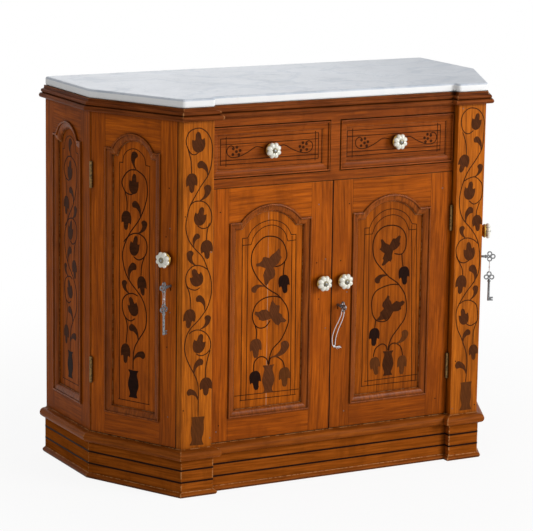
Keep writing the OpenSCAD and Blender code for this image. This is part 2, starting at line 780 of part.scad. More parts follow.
module cornice() color(DARK_TEAK) {
    z = top_z;
    c = cornice_out;
    lengths_all_round(0, c) polygon(concat(
        [[0, z], [c - 7, z]],
        arc([c - 5.5, z + 5.5], 5.5, -90, 75, 8),
        [[c - 8, z + 11.2], [c - 8.6, z + 12]],
        arc([c - 9.5, z + 16], 4.5, -70, 90, 8),
        [[c - 12, z + 21], [c - 13, z + 23.5], [c - 13, z + cornice_h], [0, z + cornice_h]]));
}

// Posts behind the pilaster fronts, and the stops that the side doors close against
module pilasters() color(HONEY) both_sides() {
    near = door_t + stop_play;
    difference() {
        translate([0, 0, floor_z]) linear_extrude(front_h) polygon([
            [pil_in, front_y], [pil_out, front_y], cant_point(strip_s, 0), post_corner,
            [pil_in, front_y + post_d]]);
        mirrored() on_left_door() at_hinges(centre_h, centre_hinge_rise, centre_hinge_drop)
            frame_leaf_cut();
    }
    translate([0, 0, floor_z]) linear_extrude(front_h) polygon([
        cant_point(strip_s - mitre_joint, near), cant_point(strip_s - stop_w, near),
        cant_point(strip_s - stop_w, near + stop_t), cant_point(strip_s - mitre_joint, near + stop_t)]);
}

module side_frames() color(TEAK) both_sides() difference() {
    intersection() {
        on_left_side() frame_boards(side_frame_w + board_t, front_h, rear_stile, fixed_open_w,
            bottom_rail, side_top_rail + gap, fixed_open_w - 2 * side_shoulder);
        mirrored() translate([0, 0, floor_z]) linear_extrude(front_h) polygon([
            [half_w, back_y], [half_w, cant_y], cant_point(nose_w, 0),
            cant_point(nose_w, 2 * board_t), [half_w - 2 * board_t, back_y]]);
    }
    on_left_cant() at_hinges(side_h, side_hinge_rise, side_hinge_drop) frame_leaf_cut();
}

module side_panels() color(TEAK) both_sides() on_left_side()
    panel_board(front_h, rear_stile, fixed_open_w, bottom_rail, side_top_rail + gap);

module side_mouldings() color(DARK_TEAK) both_sides() on_left_side()
    panel_moulding(front_h, rear_stile, fixed_open_w, bottom_rail, side_top_rail + gap,
        fixed_open_w - 2 * side_shoulder);

module back_boards() color(DARK_TEAK) {
    boards = 5;
    step = 2 * side_in / boards;
    for (k = [0:boards - 1]) translate([-side_in + k * step, back_in, floor_z])
        cube([step - (k < boards - 1 ? board_joint : 0), back_t, front_h]);
}

module partitions() color(DARK_TEAK) both_sides() {
    behind = front_y + post_d;
    lean = (post_corner.y - behind) / (post_corner.x - pil_in);
    translate([0, 0, floor_z]) linear_extrude(front_h) polygon([
        [pil_in, behind], [part_in, behind + board_t * lean], [part_in, back_in], [pil_in, back_in]]);
}

module floor_and_shelves() color(DARK_TEAK) {
    translate([0, 0, plinth_top]) linear_extrude(floor_t) polygon(plan);
    translate([-pil_in, door_y + shelf_back, shelf_z])
        cube([2 * pil_in, back_in - door_y - shelf_back, shelf_t]);
    both_sides() translate([0, 0, shelf_z]) linear_extrude(shelf_t) {
        tip = cant_point(strip_s - shelf_back, shelf_back);
        polygon([
            [part_in, back_in], [side_in, back_in], [side_in, cant_y + shelf_back / 2],
            cant_point(board_t, shelf_back), tip, [part_in, tip.y]]);
    }
}

module drawer_framing() color(TEAK) {
    back = back_in - door_y - rail_d;
    translate([-pil_in, door_y, rail_z]) cube([2 * pil_in, rail_d, rail_h]);
    translate([-pil_in, door_y, drawer_z1]) cube([2 * pil_in, rail_d, rail_h]);
    translate([-mullion_w / 2, door_y, drawer_z0]) cube([mullion_w, door_t, drawer_open_h]);
    // Runners below, kickers above, and a guide between the drawers
    for (z = [rail_z, drawer_z1]) {
        both_sides() translate([pil_in - runner_w, door_y + rail_d, z]) cube([runner_w, back, rail_h]);
        translate([-mullion_w / 2 - runner_w, door_y + rail_d, z])
            cube([mullion_w + 2 * runner_w, back, rail_h]);
    }
    translate([-mullion_w / 2, door_y + door_t, drawer_z0])
        cube([mullion_w, back_in - door_y - door_t, guide_h]);
}

module plinth_boards() color(DARK_TEAK) {
    behind = plinth_t - plinth_out;
    lengths_all_round(behind, plinth_out)
        translate([-behind, 0]) square([plinth_t, plinth_top]);
    translate([-half_w + behind, back_y - plinth_t, 0])
        cube([body_w - 2 * behind, plinth_t, plinth_top]);
}

module plinth_mouldings() color(DARK_TEAK) {
    r = (bead_h - 4) / 2;
    low = floor_z - bead_h;
    lengths_all_round(0, bead_out) polygon(concat(
        [[0, plinth_top], [plinth_out, plinth_top], [plinth_out, low], [plinth_out + 2, low],
         [bead_out - r, low + 1.5]],
        arc([bead_out - r, low + 1.5 + r], r, -80, 90, 10),
        [[plinth_out, floor_z - 2], [1.2, floor_z - 1], [1.2, floor_z], [0, floor_z]]));
    lengths_all_round(0, foot_out) polygon(concat(
        [[plinth_out, 0], [foot_out - 2, 0]],
        arc([foot_out - 4, 0.4 * foot_h], 4, -60, 70, 6),
        [[plinth_out + 2, 0.85 * foot_h], [plinth_out + 1, foot_h], [plinth_out, foot_h]]));
}

module hinge_frame_leaves() color(BRASS) both_sides() {
    on_left_door() at_hinges(centre_h, centre_hinge_rise, centre_hinge_drop) frame_leaf();
    on_left_cant() at_hinges(side_h, side_hinge_rise, side_hinge_drop) frame_leaf();
}

// ---- Drawers ----
module on_left_drawer() {
    on_front(-pil_in + drawer_gap, drawer_z0 + drawer_gap) children();
}

module drawer_left_front() color(DARK_TEAK) on_left_drawer() {
    difference() {
        translate([0, 0, -drawer_back]) cube([drawer_w, drawer_h, drawer_front_t]);
        translate([drawer_w / 2, drawer_h / 2, -drawer_back - past])
            cylinder(r = bolt_r + bolt_play, h = drawer_front_t + 2 * past);
    }
    translate([0, 0, -drawer_sink]) rect_moulding(drawer_w, drawer_h, drawer_trim_w,
        trim_section(drawer_trim_w, drawer_sink + drawer_proud, trim_bead));
}

module drawer_left_box() color(TEAK)
    translate([-pil_in + drawer_gap, door_y + drawer_back, drawer_z0 + ride_play]) {
        for (x = [0, drawer_w - drawer_side_t]) translate([x, 0, 0])
            cube([drawer_side_t, drawer_box_d, drawer_side_h]);
        translate([drawer_side_t, drawer_box_d - drawer_side_t, 0])
            cube([drawer_w - 2 * drawer_side_t, drawer_side_t, drawer_side_h]);
        translate([drawer_side_t, 0, drawer_bottom_t])
            cube([drawer_w - 2 * drawer_side_t, drawer_box_d - drawer_side_t, drawer_bottom_t]);
    }

module drawer_knob_place() {
    on_left_drawer() translate([drawer_w / 2, drawer_h / 2, -drawer_sink]) children();
}
module drawer_left_knob() color(PORCELAIN) drawer_knob_place() melon_knob();
module drawer_left_knob_mount() color(BRASS) drawer_knob_place() knob_bolt(drawer_front_t);
module drawer_right_front() mirrored() drawer_left_front();
module drawer_right_box() mirrored() drawer_left_box();
module drawer_right_knob() mirrored() drawer_left_knob();
module drawer_right_knob_mount() mirrored() drawer_left_knob_mount();

// ---- Centre doors ----
module door_left_frame() color(TEAK) on_left_door()
    centre_frame(left_w, left_hinge_stile, left_open_w, 0);
module door_left_panel() color(TEAK) on_left_door() centre_panel(left_hinge_stile, left_open_w);
module door_left_moulding() color(DARK_TEAK) on_left_door()
    centre_moulding(left_hinge_stile, left_open_w);
module door_left_hinges() color(BRASS) on_left_door()
    at_hinges(centre_h, centre_hinge_rise, centre_hinge_drop) door_leaf();
module door_left_knob() color(PORCELAIN) on_left_door() centre_knob_place(left_w) melon_knob();
module door_left_knob_mount() color(BRASS) on_left_door() centre_knob_place(left_w)
    knob_bolt(door_t);

module door_right_frame() color(TEAK) on_right_door()
    centre_frame(right_w, right_hinge_stile, right_open_w, centre_key_rise - gap);
module door_right_panel() color(TEAK) on_right_door()
    centre_panel(right_hinge_stile, right_open_w);
module door_right_moulding() color(DARK_TEAK) on_right_door()
    centre_moulding(right_hinge_stile, right_open_w);
module door_right_hinges() color(BRASS) on_right_door()
    at_hinges(centre_h, centre_hinge_rise, centre_hinge_drop) door_leaf();
module door_right_knob() color(PORCELAIN) on_right_door() centre_knob_place(right_w) melon_knob();
module door_right_knob_mount() color(BRASS) on_right_door() centre_knob_place(right_w)
    knob_bolt(door_t);
module door_right_lock() color(IRON) on_right_door() centre_lock_place()
    lock_case(case_back, bolt_depth);

// ---- Side doors ----
module side_door_left_frame() color(TEAK) on_left_cant() side_frame();
module side_door_left_panel() color(TEAK) on_left_cant() side_panel();
module side_door_left_moulding() color(DARK_TEAK) on_left_cant() side_moulding();
module side_door_left_hinges() color(BRASS) on_left_cant()
    at_hinges(side_h, side_hinge_rise, side_hinge_drop) door_leaf();
module side_door_left_knob() color(PORCELAIN) on_left_cant() side_knob_place() melon_knob();
module side_door_left_knob_mount() color(BRASS) on_left_cant() side_knob_place() knob_bolt(door_t);
module side_door_left_lock() color(IRON) on_left_cant() side_lock_place()
    lock_case(side_case_back, side_bolt_depth);
module side_door_right_frame() mirrored() side_door_left_frame();
module side_door_right_panel() mirrored() side_door_left_panel();
module side_door_right_moulding() mirrored() side_door_left_moulding();
module side_door_right_hinges() mirrored() side_door_left_hinges();
module side_door_right_knob() mirrored() side_door_left_knob();
module side_door_right_knob_mount() mirrored() side_door_left_knob_mount();
module side_door_right_lock() mirrored() side_door_left_lock();

// ---- Bolts, keys and what hangs on them ----
module lock_bolt_centre() color(IRON) on_right_door() centre_lock_place() lock_bolt(bolt_depth);
module lock_bolt_left() color(IRON) on_left_cant() side_lock_place() lock_bolt(side_bolt_depth);
module lock_bolt_right() mirrored() lock_bolt_left();
module key_centre() color(IRON) on_right_door() centre_key_place() key_shape();
module key_left() color(IRON) on_left_cant() side_key_place() key_shape();
module key_right() mirrored() key_left();
module spare_key_left() color(IRON) on_left_cant() side_key_place() spare_key(180);
module spare_key_right() color(IRON) mirrored() on_left_cant() side_key_place() spare_key(0);
module tie_left() color(THREAD) on_left_cant() side_key_place() at_low_rim() tube(tie_route, tie_d);
module tie_right() mirrored() tie_left();
module string_loop() color(THREAD)
    translate([meeting_x + gap / 2 + key_inset, door_y, floor_z + centre_key_rise])
        rotate([90, 0, 0]) at_low_rim() tube(filled(string_route), string_d);

marble_top();
top_board();
cornice();
pilasters();
side_frames();
side_panels();
side_mouldings();
back_boards();
partitions();
floor_and_shelves();
drawer_framing();
plinth_boards();
plinth_mouldings();
hinge_frame_leaves();
drawer_left_front();
drawer_left_box();
drawer_left_knob();
drawer_left_knob_mount();
drawer_right_front();
drawer_right_box();
drawer_right_knob();
drawer_right_knob_mount();
door_left_frame();
door_left_panel();
door_left_moulding();
door_left_hinges();
door_left_knob();
door_left_knob_mount();
door_right_frame();
door_right_panel();
door_right_moulding();
door_right_hinges();
door_right_knob();
door_right_knob_mount();
door_right_lock();
side_door_left_frame();
side_door_left_panel();
side_door_left_moulding();
side_door_left_hinges();
side_door_left_knob();
side_door_left_knob_mount();
side_door_left_lock();
side_door_right_frame();
side_door_right_panel();
side_door_right_moulding();
side_door_right_hinges();
side_door_right_knob();
side_door_right_knob_mount();
side_door_right_lock();
lock_bolt_centre();
lock_bolt_left();
lock_bolt_right();
key_centre();
key_left();
key_right();
spare_key_left();
spare_key_right();
tie_left();
tie_right();
string_loop();
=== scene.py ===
"""The looks of a marble-topped side cabinet in teak with rosewood inlay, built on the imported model."""

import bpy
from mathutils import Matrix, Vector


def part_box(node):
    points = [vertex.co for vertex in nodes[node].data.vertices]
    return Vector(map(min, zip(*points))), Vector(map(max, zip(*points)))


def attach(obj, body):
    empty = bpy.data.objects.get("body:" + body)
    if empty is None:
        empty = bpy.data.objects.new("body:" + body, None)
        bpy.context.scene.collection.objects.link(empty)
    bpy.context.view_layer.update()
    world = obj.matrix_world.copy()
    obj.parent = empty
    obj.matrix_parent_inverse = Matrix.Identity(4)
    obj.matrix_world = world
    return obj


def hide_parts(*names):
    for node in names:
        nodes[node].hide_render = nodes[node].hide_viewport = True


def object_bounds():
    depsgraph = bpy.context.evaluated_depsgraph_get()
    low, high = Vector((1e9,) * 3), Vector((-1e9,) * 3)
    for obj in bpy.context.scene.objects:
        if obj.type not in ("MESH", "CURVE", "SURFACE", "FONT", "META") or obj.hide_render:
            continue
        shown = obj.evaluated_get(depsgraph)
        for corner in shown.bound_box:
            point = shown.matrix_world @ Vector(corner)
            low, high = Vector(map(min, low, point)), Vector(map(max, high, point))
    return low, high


bl_info = {
    "name": "Inlaid Side Cabinet",
    "version": (1, 0, 0),
    "blender": (4, 5, 0),
    "location": "View3D > Sidebar > Cabinet",
    "description": "Teak, marble, porcelain and rosewood inlay for a canted side cabinet",
    "category": "Object",
}

import math

import bpy
from mathutils import Matrix, Vector

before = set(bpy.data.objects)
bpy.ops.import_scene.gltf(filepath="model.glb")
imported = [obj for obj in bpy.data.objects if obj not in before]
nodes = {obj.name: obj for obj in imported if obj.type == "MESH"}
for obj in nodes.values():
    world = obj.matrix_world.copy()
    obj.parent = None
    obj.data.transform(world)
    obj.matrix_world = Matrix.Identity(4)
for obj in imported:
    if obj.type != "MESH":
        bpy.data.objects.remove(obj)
cad_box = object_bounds()

# The drawings and places below are in millimetres, and Blender works in metres
MM_IN_M = 1000


def hexed(text):
    """A colour written as in a picture, turned into the light values that shaders use."""
    values = [int(text[k:k + 2], 16) / 255 for k in (0, 2, 4)]
    return tuple(c / 12.92 if c <= 0.04045 else ((c + 0.055) / 1.055) ** 2.4 for c in values)


# ---- What a user would change ----
def colour(name, description, text):
    return bpy.props.FloatVectorProperty(
        name=name, description=description, subtype="COLOR", size=3, min=0, max=1,
        default=hexed(text))


def length(name, description, value, low, high):
    return bpy.props.FloatProperty(
        name=name, description=description, subtype="DISTANCE", unit="LENGTH",
        default=value, min=low, max=high, precision=4)


class CabinetColours(bpy.types.PropertyGroup):
    """Colours of the woods, the stone and the metals"""
    teak: colour("Teak", "Middle tone of the frames", "a24e08")
    panel: colour("Panels", "Middle tone of the panels", "a85408")
    drawer: colour("Drawers", "Middle tone of the drawer fronts and the wood round them", "8c430e")
    moulding: colour("Mouldings", "Middle tone of the mouldings", "8c450e")
    cornice: colour("Cornice", "Middle tone of the cornice", "723814")
    plinth: colour("Plinth", "Middle tone of the plinth", "9a5016")
    honey: colour("Honey teak", "Middle tone of the pilasters", "ae5c10")
    plain: colour("Inside wood", "Middle tone of the wood inside and behind", "7d5230")
    rosewood: colour("Rosewood", "Leaves, flowers and vases of the inlay", "3e200e")
    ebony: colour("Dark inlay", "The darkest buds and the lines of the plinth", "22120c")
    brown: colour("Brown inlay", "Beakers and the lighter buds", "583014")
    line: colour("Line wood", "Vines and stringing", "2c160a")
    marble: colour("Marble", "Ground of the top", "c9ced6")
    porcelain: colour("Porcelain", "Glaze of the knobs", "e3e0d2")
    brass: colour("Brass", "Cups and rosettes of the knobs", "c09a4a")
    hinge: colour("Hinges", "Worn leaves of the hinges", "86683e")
    iron: colour("Iron", "Locks and keys", "8b8d90")
    cotton: colour("Cotton", "String and ties", "f2f0ee")


class CabinetSizes(bpy.types.PropertyGroup):
    """Sizes of the pieces that the looks add"""
    knob: length("Knob", "Diameter of a melon knob", 0.0370, 0.03, 0.04)
    cup: length("Cup", "Diameter of the brass cup behind a knob", 0.0330, 0.02, 0.036)
    vine: length("Vine", "Width of a vine", 0.0025, 0.001, 0.003)
    string: length("Stringing", "Width of a string line", 0.0015, 0.0008, 0.002)
    plinth_line: length("Plinth line", "Width of a dark line round the plinth", 0.0040, 0.001, 0.005)
    proud: length("Inlay height", "How far the inlay stands above its ground", 0.00012, 0.00005, 0.0003)


# Tones that wear, dirt and age give, whatever the woods and the stone are. Among them are also the
# painted shade in a door's gap, the painted highlight on the marble's rounded edge, and a pale edge tone
# that is partly rubbed wear and partly painted highlight
SCUFFED = hexed("b98a5e")
# Pale tone for convex edges: partly rubbed wear, partly painted highlight
RUBBED_AND_HIGHLIT = hexed("c08a56")
OPEN_JOINT = hexed("a09684")
# Near black painted shade for the gap beside a door's edge
GAP_SHADOW = hexed("140905")
WIDE_VEIN = hexed("a9b4c2")
HAIR_VEIN = hexed("97a3b0")
# Near white painted highlight on the marble's rounded edge
NOSING_HIGHLIGHT = hexed("f4f4f2")
STONE_STAIN = hexed("b9b4aa")
CRAZE = hexed("8c7a5e")
FILLER = hexed("6e6a66")
GROOVE_STAIN = hexed("6b4d2c")
DULL_BRASS = hexed("7a6236")
DULL_HINGE = hexed("4e4230")
TARNISHED = hexed("7d7560")
DULL_TARNISHED = hexed("4c463a")
DULL_IRON = hexed("55524f")

# The left cant of the case in plan: its back corner, its front one, the length between them,
# and its ways along the face and out of it
CANT_CORNER = (-510, 5, 0)
CANT_END = (-393, -233, 0)
CANT_LENGTH = 265.204
CANT_ACROSS = (0.4412, -0.8975, 0)
CANT_OUT = (-0.8975, -0.4412, 0)


# ---- Sums on sockets ----
class Sum:
    """A socket of a finish. Sums written on it become Math nodes."""

    def __init__(self, finish, socket):
        self.finish, self.socket = finish, socket

    def made(self, operation, *values):
        settings = {"operation": operation}
        return self.finish.node("ShaderNodeMath", settings, dict(enumerate(values)))

    def __add__(self, other):
        return self.made("ADD", self, other)

    def __radd__(self, other):
        return self.made("ADD", other, self)

    def __sub__(self, other):
        return self.made("SUBTRACT", self, other)

    def __rsub__(self, other):
        return self.made("SUBTRACT", other, self)

    def __mul__(self, other):
        return self.made("MULTIPLY", self, other)

    def __rmul__(self, other):
        return self.made("MULTIPLY", other, self)

    def __gt__(self, other):
        return self.made("GREATER_THAN", self, other)

    def __lt__(self, other):
        return self.made("LESS_THAN", self, other)

    def __abs__(self):
        return self.made("ABSOLUTE", self)


class Finish:
    """One material and the nodes that make it"""

    def __init__(self, name, roughness, metallic=0.0, coat=0.0, coat_roughness=0.2, shine=0.5):
        self.material = bpy.data.materials.new(name)
        self.material.use_nodes = True
        self.tree = self.material.node_tree
        self.tree.nodes.clear()
        self.shader = self.tree.nodes.new("ShaderNodeBsdfPrincipled")
        out = self.tree.nodes.new("ShaderNodeOutputMaterial")
        self.tree.links.new(self.shader.outputs[0], out.inputs[0])
        for socket, value in (
                ("Specular IOR Level", shine), ("Roughness", roughness), ("Metallic", metallic),
                ("Coat Weight", coat), ("Coat Roughness", coat_roughness)):
            self.shader.inputs[socket].default_value = value
        self.spot = self.node("ShaderNodeTexCoord", output="Object")
        self.x, self.y, self.z = [
            self.node("ShaderNodeSeparateXYZ", None, {0: self.spot}, k) for k in range(3)]

    def node(self, kind, settings=None, inputs=None, output=0):
        """Adds a node: its settings first, then the values or links of its sockets."""
        made = self.tree.nodes.new(kind)
        for key, value in (settings or {}).items():
            if key == "stops":
                ramp = made.color_ramp
                while len(ramp.elements) < len(value):
                    ramp.elements.new(1.0)
                for element, (place, tone) in zip(ramp.elements, value):
                    element.position, element.color = place, (*tone, 1)
            else:
                setattr(made, key, value)
        for key, value in (inputs or {}).items():
            if isinstance(value, Sum):
                self.tree.links.new(value.socket, made.inputs[key])
            else:
                made.inputs[key].default_value = value
        return Sum(self, made.outputs[output])

    def place(self, x, y, z):
        return self.node("ShaderNodeCombineXYZ", None, {0: x, 1: y, 2: z})

    def noise(self, where, scale, detail, rough):
        return self.node("ShaderNodeTexNoise", None, {
            "Vector": where, "Scale": scale, "Detail": detail, "Roughness": rough})

    def ramp(self, value, stops):
        return self.node("ShaderNodeValToRGB", {"stops": stops}, {0: value})

    def mix(self, share, one, two):
        """One colour going over to the other by a share. Its colours are sockets 6 and 7."""
        sockets = {0: share, 6: one, 7: two}
        for key in (6, 7):
            if isinstance(sockets[key], tuple):
                sockets[key] = (*sockets[key], 1)
        return self.node("ShaderNodeMix", {"data_type": "RGBA"}, sockets, 2)

    def step(self, value, low, high):
        return self.node("ShaderNodeMapRange", {"interpolation_type": "SMOOTHSTEP"}, {
            0: value, 1: low, 2: high})

    def within(self, value, low, high):
        return (value > low) * (value < high)

    def feed(self, socket, value):
        self.tree.links.new(value.socket, self.shader.inputs[socket])

    def bump(self, height, strength, distance):
        self.feed("Normal", self.node("ShaderNodeBump", None, {
            "Strength": strength, "Distance": distance, "Height": height}))

    def nook(self, distance, **settings):
        """How open the surface lies, from 0 in a corner to 1 in the open."""
        return self.node("ShaderNodeAmbientOcclusion", {"samples": 8, **settings},
                         {"Distance": distance}, "AO")

    def layered(self, ground, layers):
        """Covers the ground in turn: each layer has its mask, its share and its tone."""
        for mask, share, tone in layers:
            ground = self.mix(mask * share, ground, tone)
        return ground


def shade(tone, factor, red=1.0):
    """A tone made darker or lighter, and a little redder or less so."""
    red_part, green_part, blue_part = tone
    return (min(red_part * factor * red, 1), min(green_part * factor, 1),
            min(blue_part * factor / red, 1))


# How far the figure and the pores of a board are drawn out along its grain
FIGURE_DRAWN = 0.045
PORES_DRAWN = 0.02
# Sets the grain of lying boards apart from that of upright ones
LYING_SEED = 3.7
# In metres: half the width of a joint and of one that has opened, how far the painted shade, which
# stands also for grime, reaches out of a corner, how far an edge gets its pale mark of wear and painted
# highlight, and between which heights the foot grows darker
JOINT_HALF = 0.0005
OPEN_JOINT_HALF = 0.0006
CORNER_SHADE_REACH = 0.011
EDGE_RUB_AND_HIGHLIGHT_REACH = 0.0025
FOOT_DARKER_HEIGHTS = (0.10, 0.24)
# The marble's rounded edge, painted near white as painted highlight, from and to, in metres
NOSING_HEIGHTS = (0.875, 0.8955)


def grain(finish, across, depth, along, seed=0.0):
    """Streaks of a board: broad bands, streaks and pores drawn out along the grain."""
    ground = finish.place(across + seed, depth, along * FIGURE_DRAWN)
    pores = finish.place(across + seed, depth, along * PORES_DRAWN)
    bands = finish.noise(ground, 42.0, 3.0, 0.55)
    streaks = finish.noise(ground, 210.0, 5.0, 0.62)
    pore = finish.noise(pores, 900.0, 2.0, 0.6)
    return bands, streaks, pore


def on_board(across, x, y):
    """Where a point lies along a board's face and out of it."""
    if across == "x":
        return x, y
    if across == "y":
        return y, x
    sign = 1 if across == "left_cant" else -1
    return (x * (sign * CANT_ACROSS[0]) + y * CANT_ACROSS[1],
            x * (sign * CANT_OUT[0]) + y * CANT_OUT[1])


def board_grain(finish, side, deep, rails, level):
    """Grain that stands upright, lies level, or changes over where the rails are."""
    z = finish.z
    sway = finish.noise(finish.spot, 2.3, 1.0, 0.5) * 0.03
    if level:
        return grain(finish, z + sway, deep * FIGURE_DRAWN, side, LYING_SEED)
    upright = grain(finish, side + sway, deep, z)
    if not rails:
        return upright
    lying = grain(finish, z + sway, deep, side, LYING_SEED)
    share = None
    for left, right, low, high in rails:
        here = finish.within(side, left, right) * finish.within(z, low, high)
        share = here if share is None else share + here
    return [one * (1 - share) + two * share for one, two in zip(upright, lying)]


def wood(name, tone, across="x", rails=(), joints=(), level=False, contrast=1.0, gloss=0.36,
         wear_and_edge_highlight=0.5, pale_joint=None, shine=0.06, gap_shadows=(), corner_shade_and_grime=0.75):
    """A polished board. across names the direction over the face, rails the areas
    (across from, to, up from, to) whose grain lies level, and the gap strips (across from, to, depth
    from, to) at a door's edge, which lie in its gap, are painted near black as painted shade. Painted
    shade darkens the corners and stands also for grime there, and convex edges get a pale mark that is
    partly rubbed wear and partly painted highlight."""
    finish = Finish(name, gloss, shine=shine)
    z = finish.z
    side, deep = on_board(across, finish.x, finish.y)
    bands, streaks, pore = board_grain(finish, side, deep, rails, level)
    figure = (bands - 0.5) * (0.7 * contrast) + (streaks - 0.5) * (1.5 * contrast) + 0.5
    ground = finish.ramp(figure, [
        (0.24, shade(tone, 0.50, 1.03)), (0.42, shade(tone, 0.80, 1.02)), (0.53, tone),
        (0.66, shade(tone, 1.22, 0.98)), (0.80, shade(tone, 1.45, 0.95))])
    cloud = finish.noise(finish.spot, 6.5, 4.0, 0.6)
    smoke = finish.noise(finish.place(side, deep, z * 0.4), 26.0, 4.0, 0.65)
    dirt = finish.noise(finish.spot, 95.0, 3.0, 0.7)
    scuffs = finish.noise(finish.place(side * 0.6, deep, z), 320.0, 4.0, 0.75)
    ground = finish.layered(ground, [
        (finish.step(cloud, 0.47, 0.72), 0.55, shade(tone, 0.66, 1.10)),
        (finish.step(pore, 0.58, 0.72), 0.5, shade(tone, 0.42)),
        (finish.step(smoke, 0.50, 0.70), 0.45, shade(tone, 0.50, 1.06)),
        # Darker towards the bottom
        (1 - finish.step(z, *FOOT_DARKER_HEIGHTS), 0.28, shade(tone, 0.42, 1.05)),
        (finish.step(dirt, 0.66, 0.80), 0.32 * wear_and_edge_highlight, shade(tone, 0.36)),
        (finish.step(scuffs, 0.70, 0.80), 0.22 * wear_and_edge_highlight, SCUFFED)])
    ground = finish.layered(ground, [
        ((abs(side - place) < JOINT_HALF) * finish.within(z, low, high), 0.72,
         shade(tone, 0.22)) for place, low, high in joints])
    if pale_joint is not None:
        opened = (abs(side - pale_joint) < OPEN_JOINT_HALF) * finish.step(cloud, 0.35, 0.50)
        ground = finish.layered(ground, [(opened, 0.65, OPEN_JOINT)])
    # Painted shade in corners and crevices, from how open the surface lies; it stands also for grime
    # there
    corner = 1 - finish.step(finish.nook(CORNER_SHADE_REACH), 0.38, 0.96)
    # Pale marks on convex edges, partly rubbed wear and partly painted highlight
    edge = 1 - finish.step(finish.nook(EDGE_RUB_AND_HIGHLIGHT_REACH, inside=True, only_local=True), 0.30, 0.85)
    ground = finish.layered(ground, [
        (corner, corner_shade_and_grime, shade(tone, 0.16, 1.05)),
        (edge * finish.step(dirt, 0.42, 0.56), 0.45 * wear_and_edge_highlight, RUBBED_AND_HIGHLIT)])
    # Painted shade: the strips of a door's edge that lie in its gap are painted near black
    ground = finish.layered(ground, [
        (finish.within(side, left, right) * finish.within(deep, near, far), 0.92, GAP_SHADOW)
        for left, right, near, far in gap_shadows])
    finish.feed("Base Color", ground)
    finish.feed("Roughness", gloss + (cloud - 0.5) * 0.22 + (pore - 0.5) * 0.12)
    finish.bump(streaks * 0.4 + pore * 0.6, 0.28, 0.0004)
    return finish.material


def inlay_wood(name, tone, spread=0.35, slant=0.5):
    """Thin slips of dark wood, each with its own slanted grain."""
    finish = Finish(name, 0.40, shine=0.02)
    across = finish.x + finish.y * 0.6 + finish.z * slant
    drawn = finish.place(across, finish.z * 0.12, finish.y * 0.12)
    bands = finish.noise(drawn, 420.0, 4.0, 0.6)
    ground = finish.ramp(bands, [
        (0.25, shade(tone, 1 - spread)), (0.5, tone), (0.75, shade(tone, 1 + spread * 1.4, 1.04))])
    worn = finish.noise(finish.spot, 60.0, 3.0, 0.6)
    ground = finish.layered(ground, [
        (finish.step(worn, 0.60, 0.80), 0.4, shade(tone, 1.9, 0.98))])
    finish.feed("Base Color", ground)
    finish.feed("Roughness", 0.36 + bands * 0.12)
    finish.bump(bands, 0.2, 0.0002)
    return finish.material


def marble(name, tone):
    """Pale grey-blue stone with soft clouds and thin bent veins, and a painted highlight on its rounded
    edge.
    """
    finish = Finish(name, 0.3, shine=0.05)
    wave = finish.noise(finish.spot, 3.0, 5.0, 0.6)
    bent = finish.place(finish.x + wave * 0.35, finish.y + wave * 0.28, finish.z)
    vein = abs(finish.noise(bent, 4.2, 4.0, 0.55) - 0.5)
    hair = abs(finish.noise(bent, 11.0, 5.0, 0.6) - 0.5)
    cloud = finish.noise(bent, 7.0, 6.0, 0.6)
    ground = finish.ramp(cloud, [
        (0.30, shade(tone, 0.86, 0.985)), (0.50, tone), (0.72, shade(tone, 1.06))])
    stain = finish.noise(finish.spot, 38.0, 4.0, 0.7)
    ground = finish.layered(ground, [
        (1 - finish.step(vein, 0.0, 0.035), 0.42, WIDE_VEIN),
        (1 - finish.step(hair, 0.0, 0.012), 0.25, HAIR_VEIN),
        # Painted highlight on the rounded edge
        (finish.within(finish.z, *NOSING_HEIGHTS), 0.8, NOSING_HIGHLIGHT),
        (finish.step(stain, 0.62, 0.80), 0.25, STONE_STAIN)])
    finish.feed("Base Color", ground)
    finish.feed("Roughness", 0.24 + stain * 0.16)
    finish.bump(stain + cloud, 0.06, 0.001)
    return finish.material


def porcelain(name, tone):
    """Old cream glaze with fine crazing and stained grooves."""
    finish = Finish(name, 0.16, coat=0.5, coat_roughness=0.08)
    craze = finish.node("ShaderNodeTexVoronoi", {"feature": "DISTANCE_TO_EDGE"}, {
        "Vector": finish.spot, "Scale": 420.0})
    cloud = finish.noise(finish.spot, 150.0, 3.0, 0.6)
    ground = finish.ramp(cloud, [(0.3, shade(tone, 0.82)), (0.55, tone), (0.8, shade(tone, 1.06))])
    ground = finish.layered(ground, [(1 - finish.step(craze, 0.0, 0.03), 0.30, CRAZE)])
    finish.feed("Base Color", ground)
    finish.feed("Roughness", 0.12 + cloud * 0.12)
    finish.bump(cloud, 0.08, 0.0003)
    return finish.material


def metal(name, tone, dull, scale, roughness):
    """Handled metal with darker tarnish in patches."""
    finish = Finish(name, roughness, metallic=1.0)
    patches = finish.noise(finish.spot, scale, 5.0, 0.65)
    grit = finish.noise(finish.spot, scale * 6, 3.0, 0.6)
    ground = finish.mix(finish.step(patches, 0.42, 0.66), tone, dull)
    ground = finish.layered(ground, [(finish.step(grit, 0.60, 0.75), 0.4, shade(dull, 0.5))])
    finish.feed("Base Color", ground)
    finish.feed("Metallic", 1.0 - finish.step(patches, 0.55, 0.85) * 0.45)
    finish.feed("Roughness", roughness + patches * 0.25)
    finish.bump(patches * 0.5 + grit * 0.5, 0.25, 0.0003)
    return finish.material


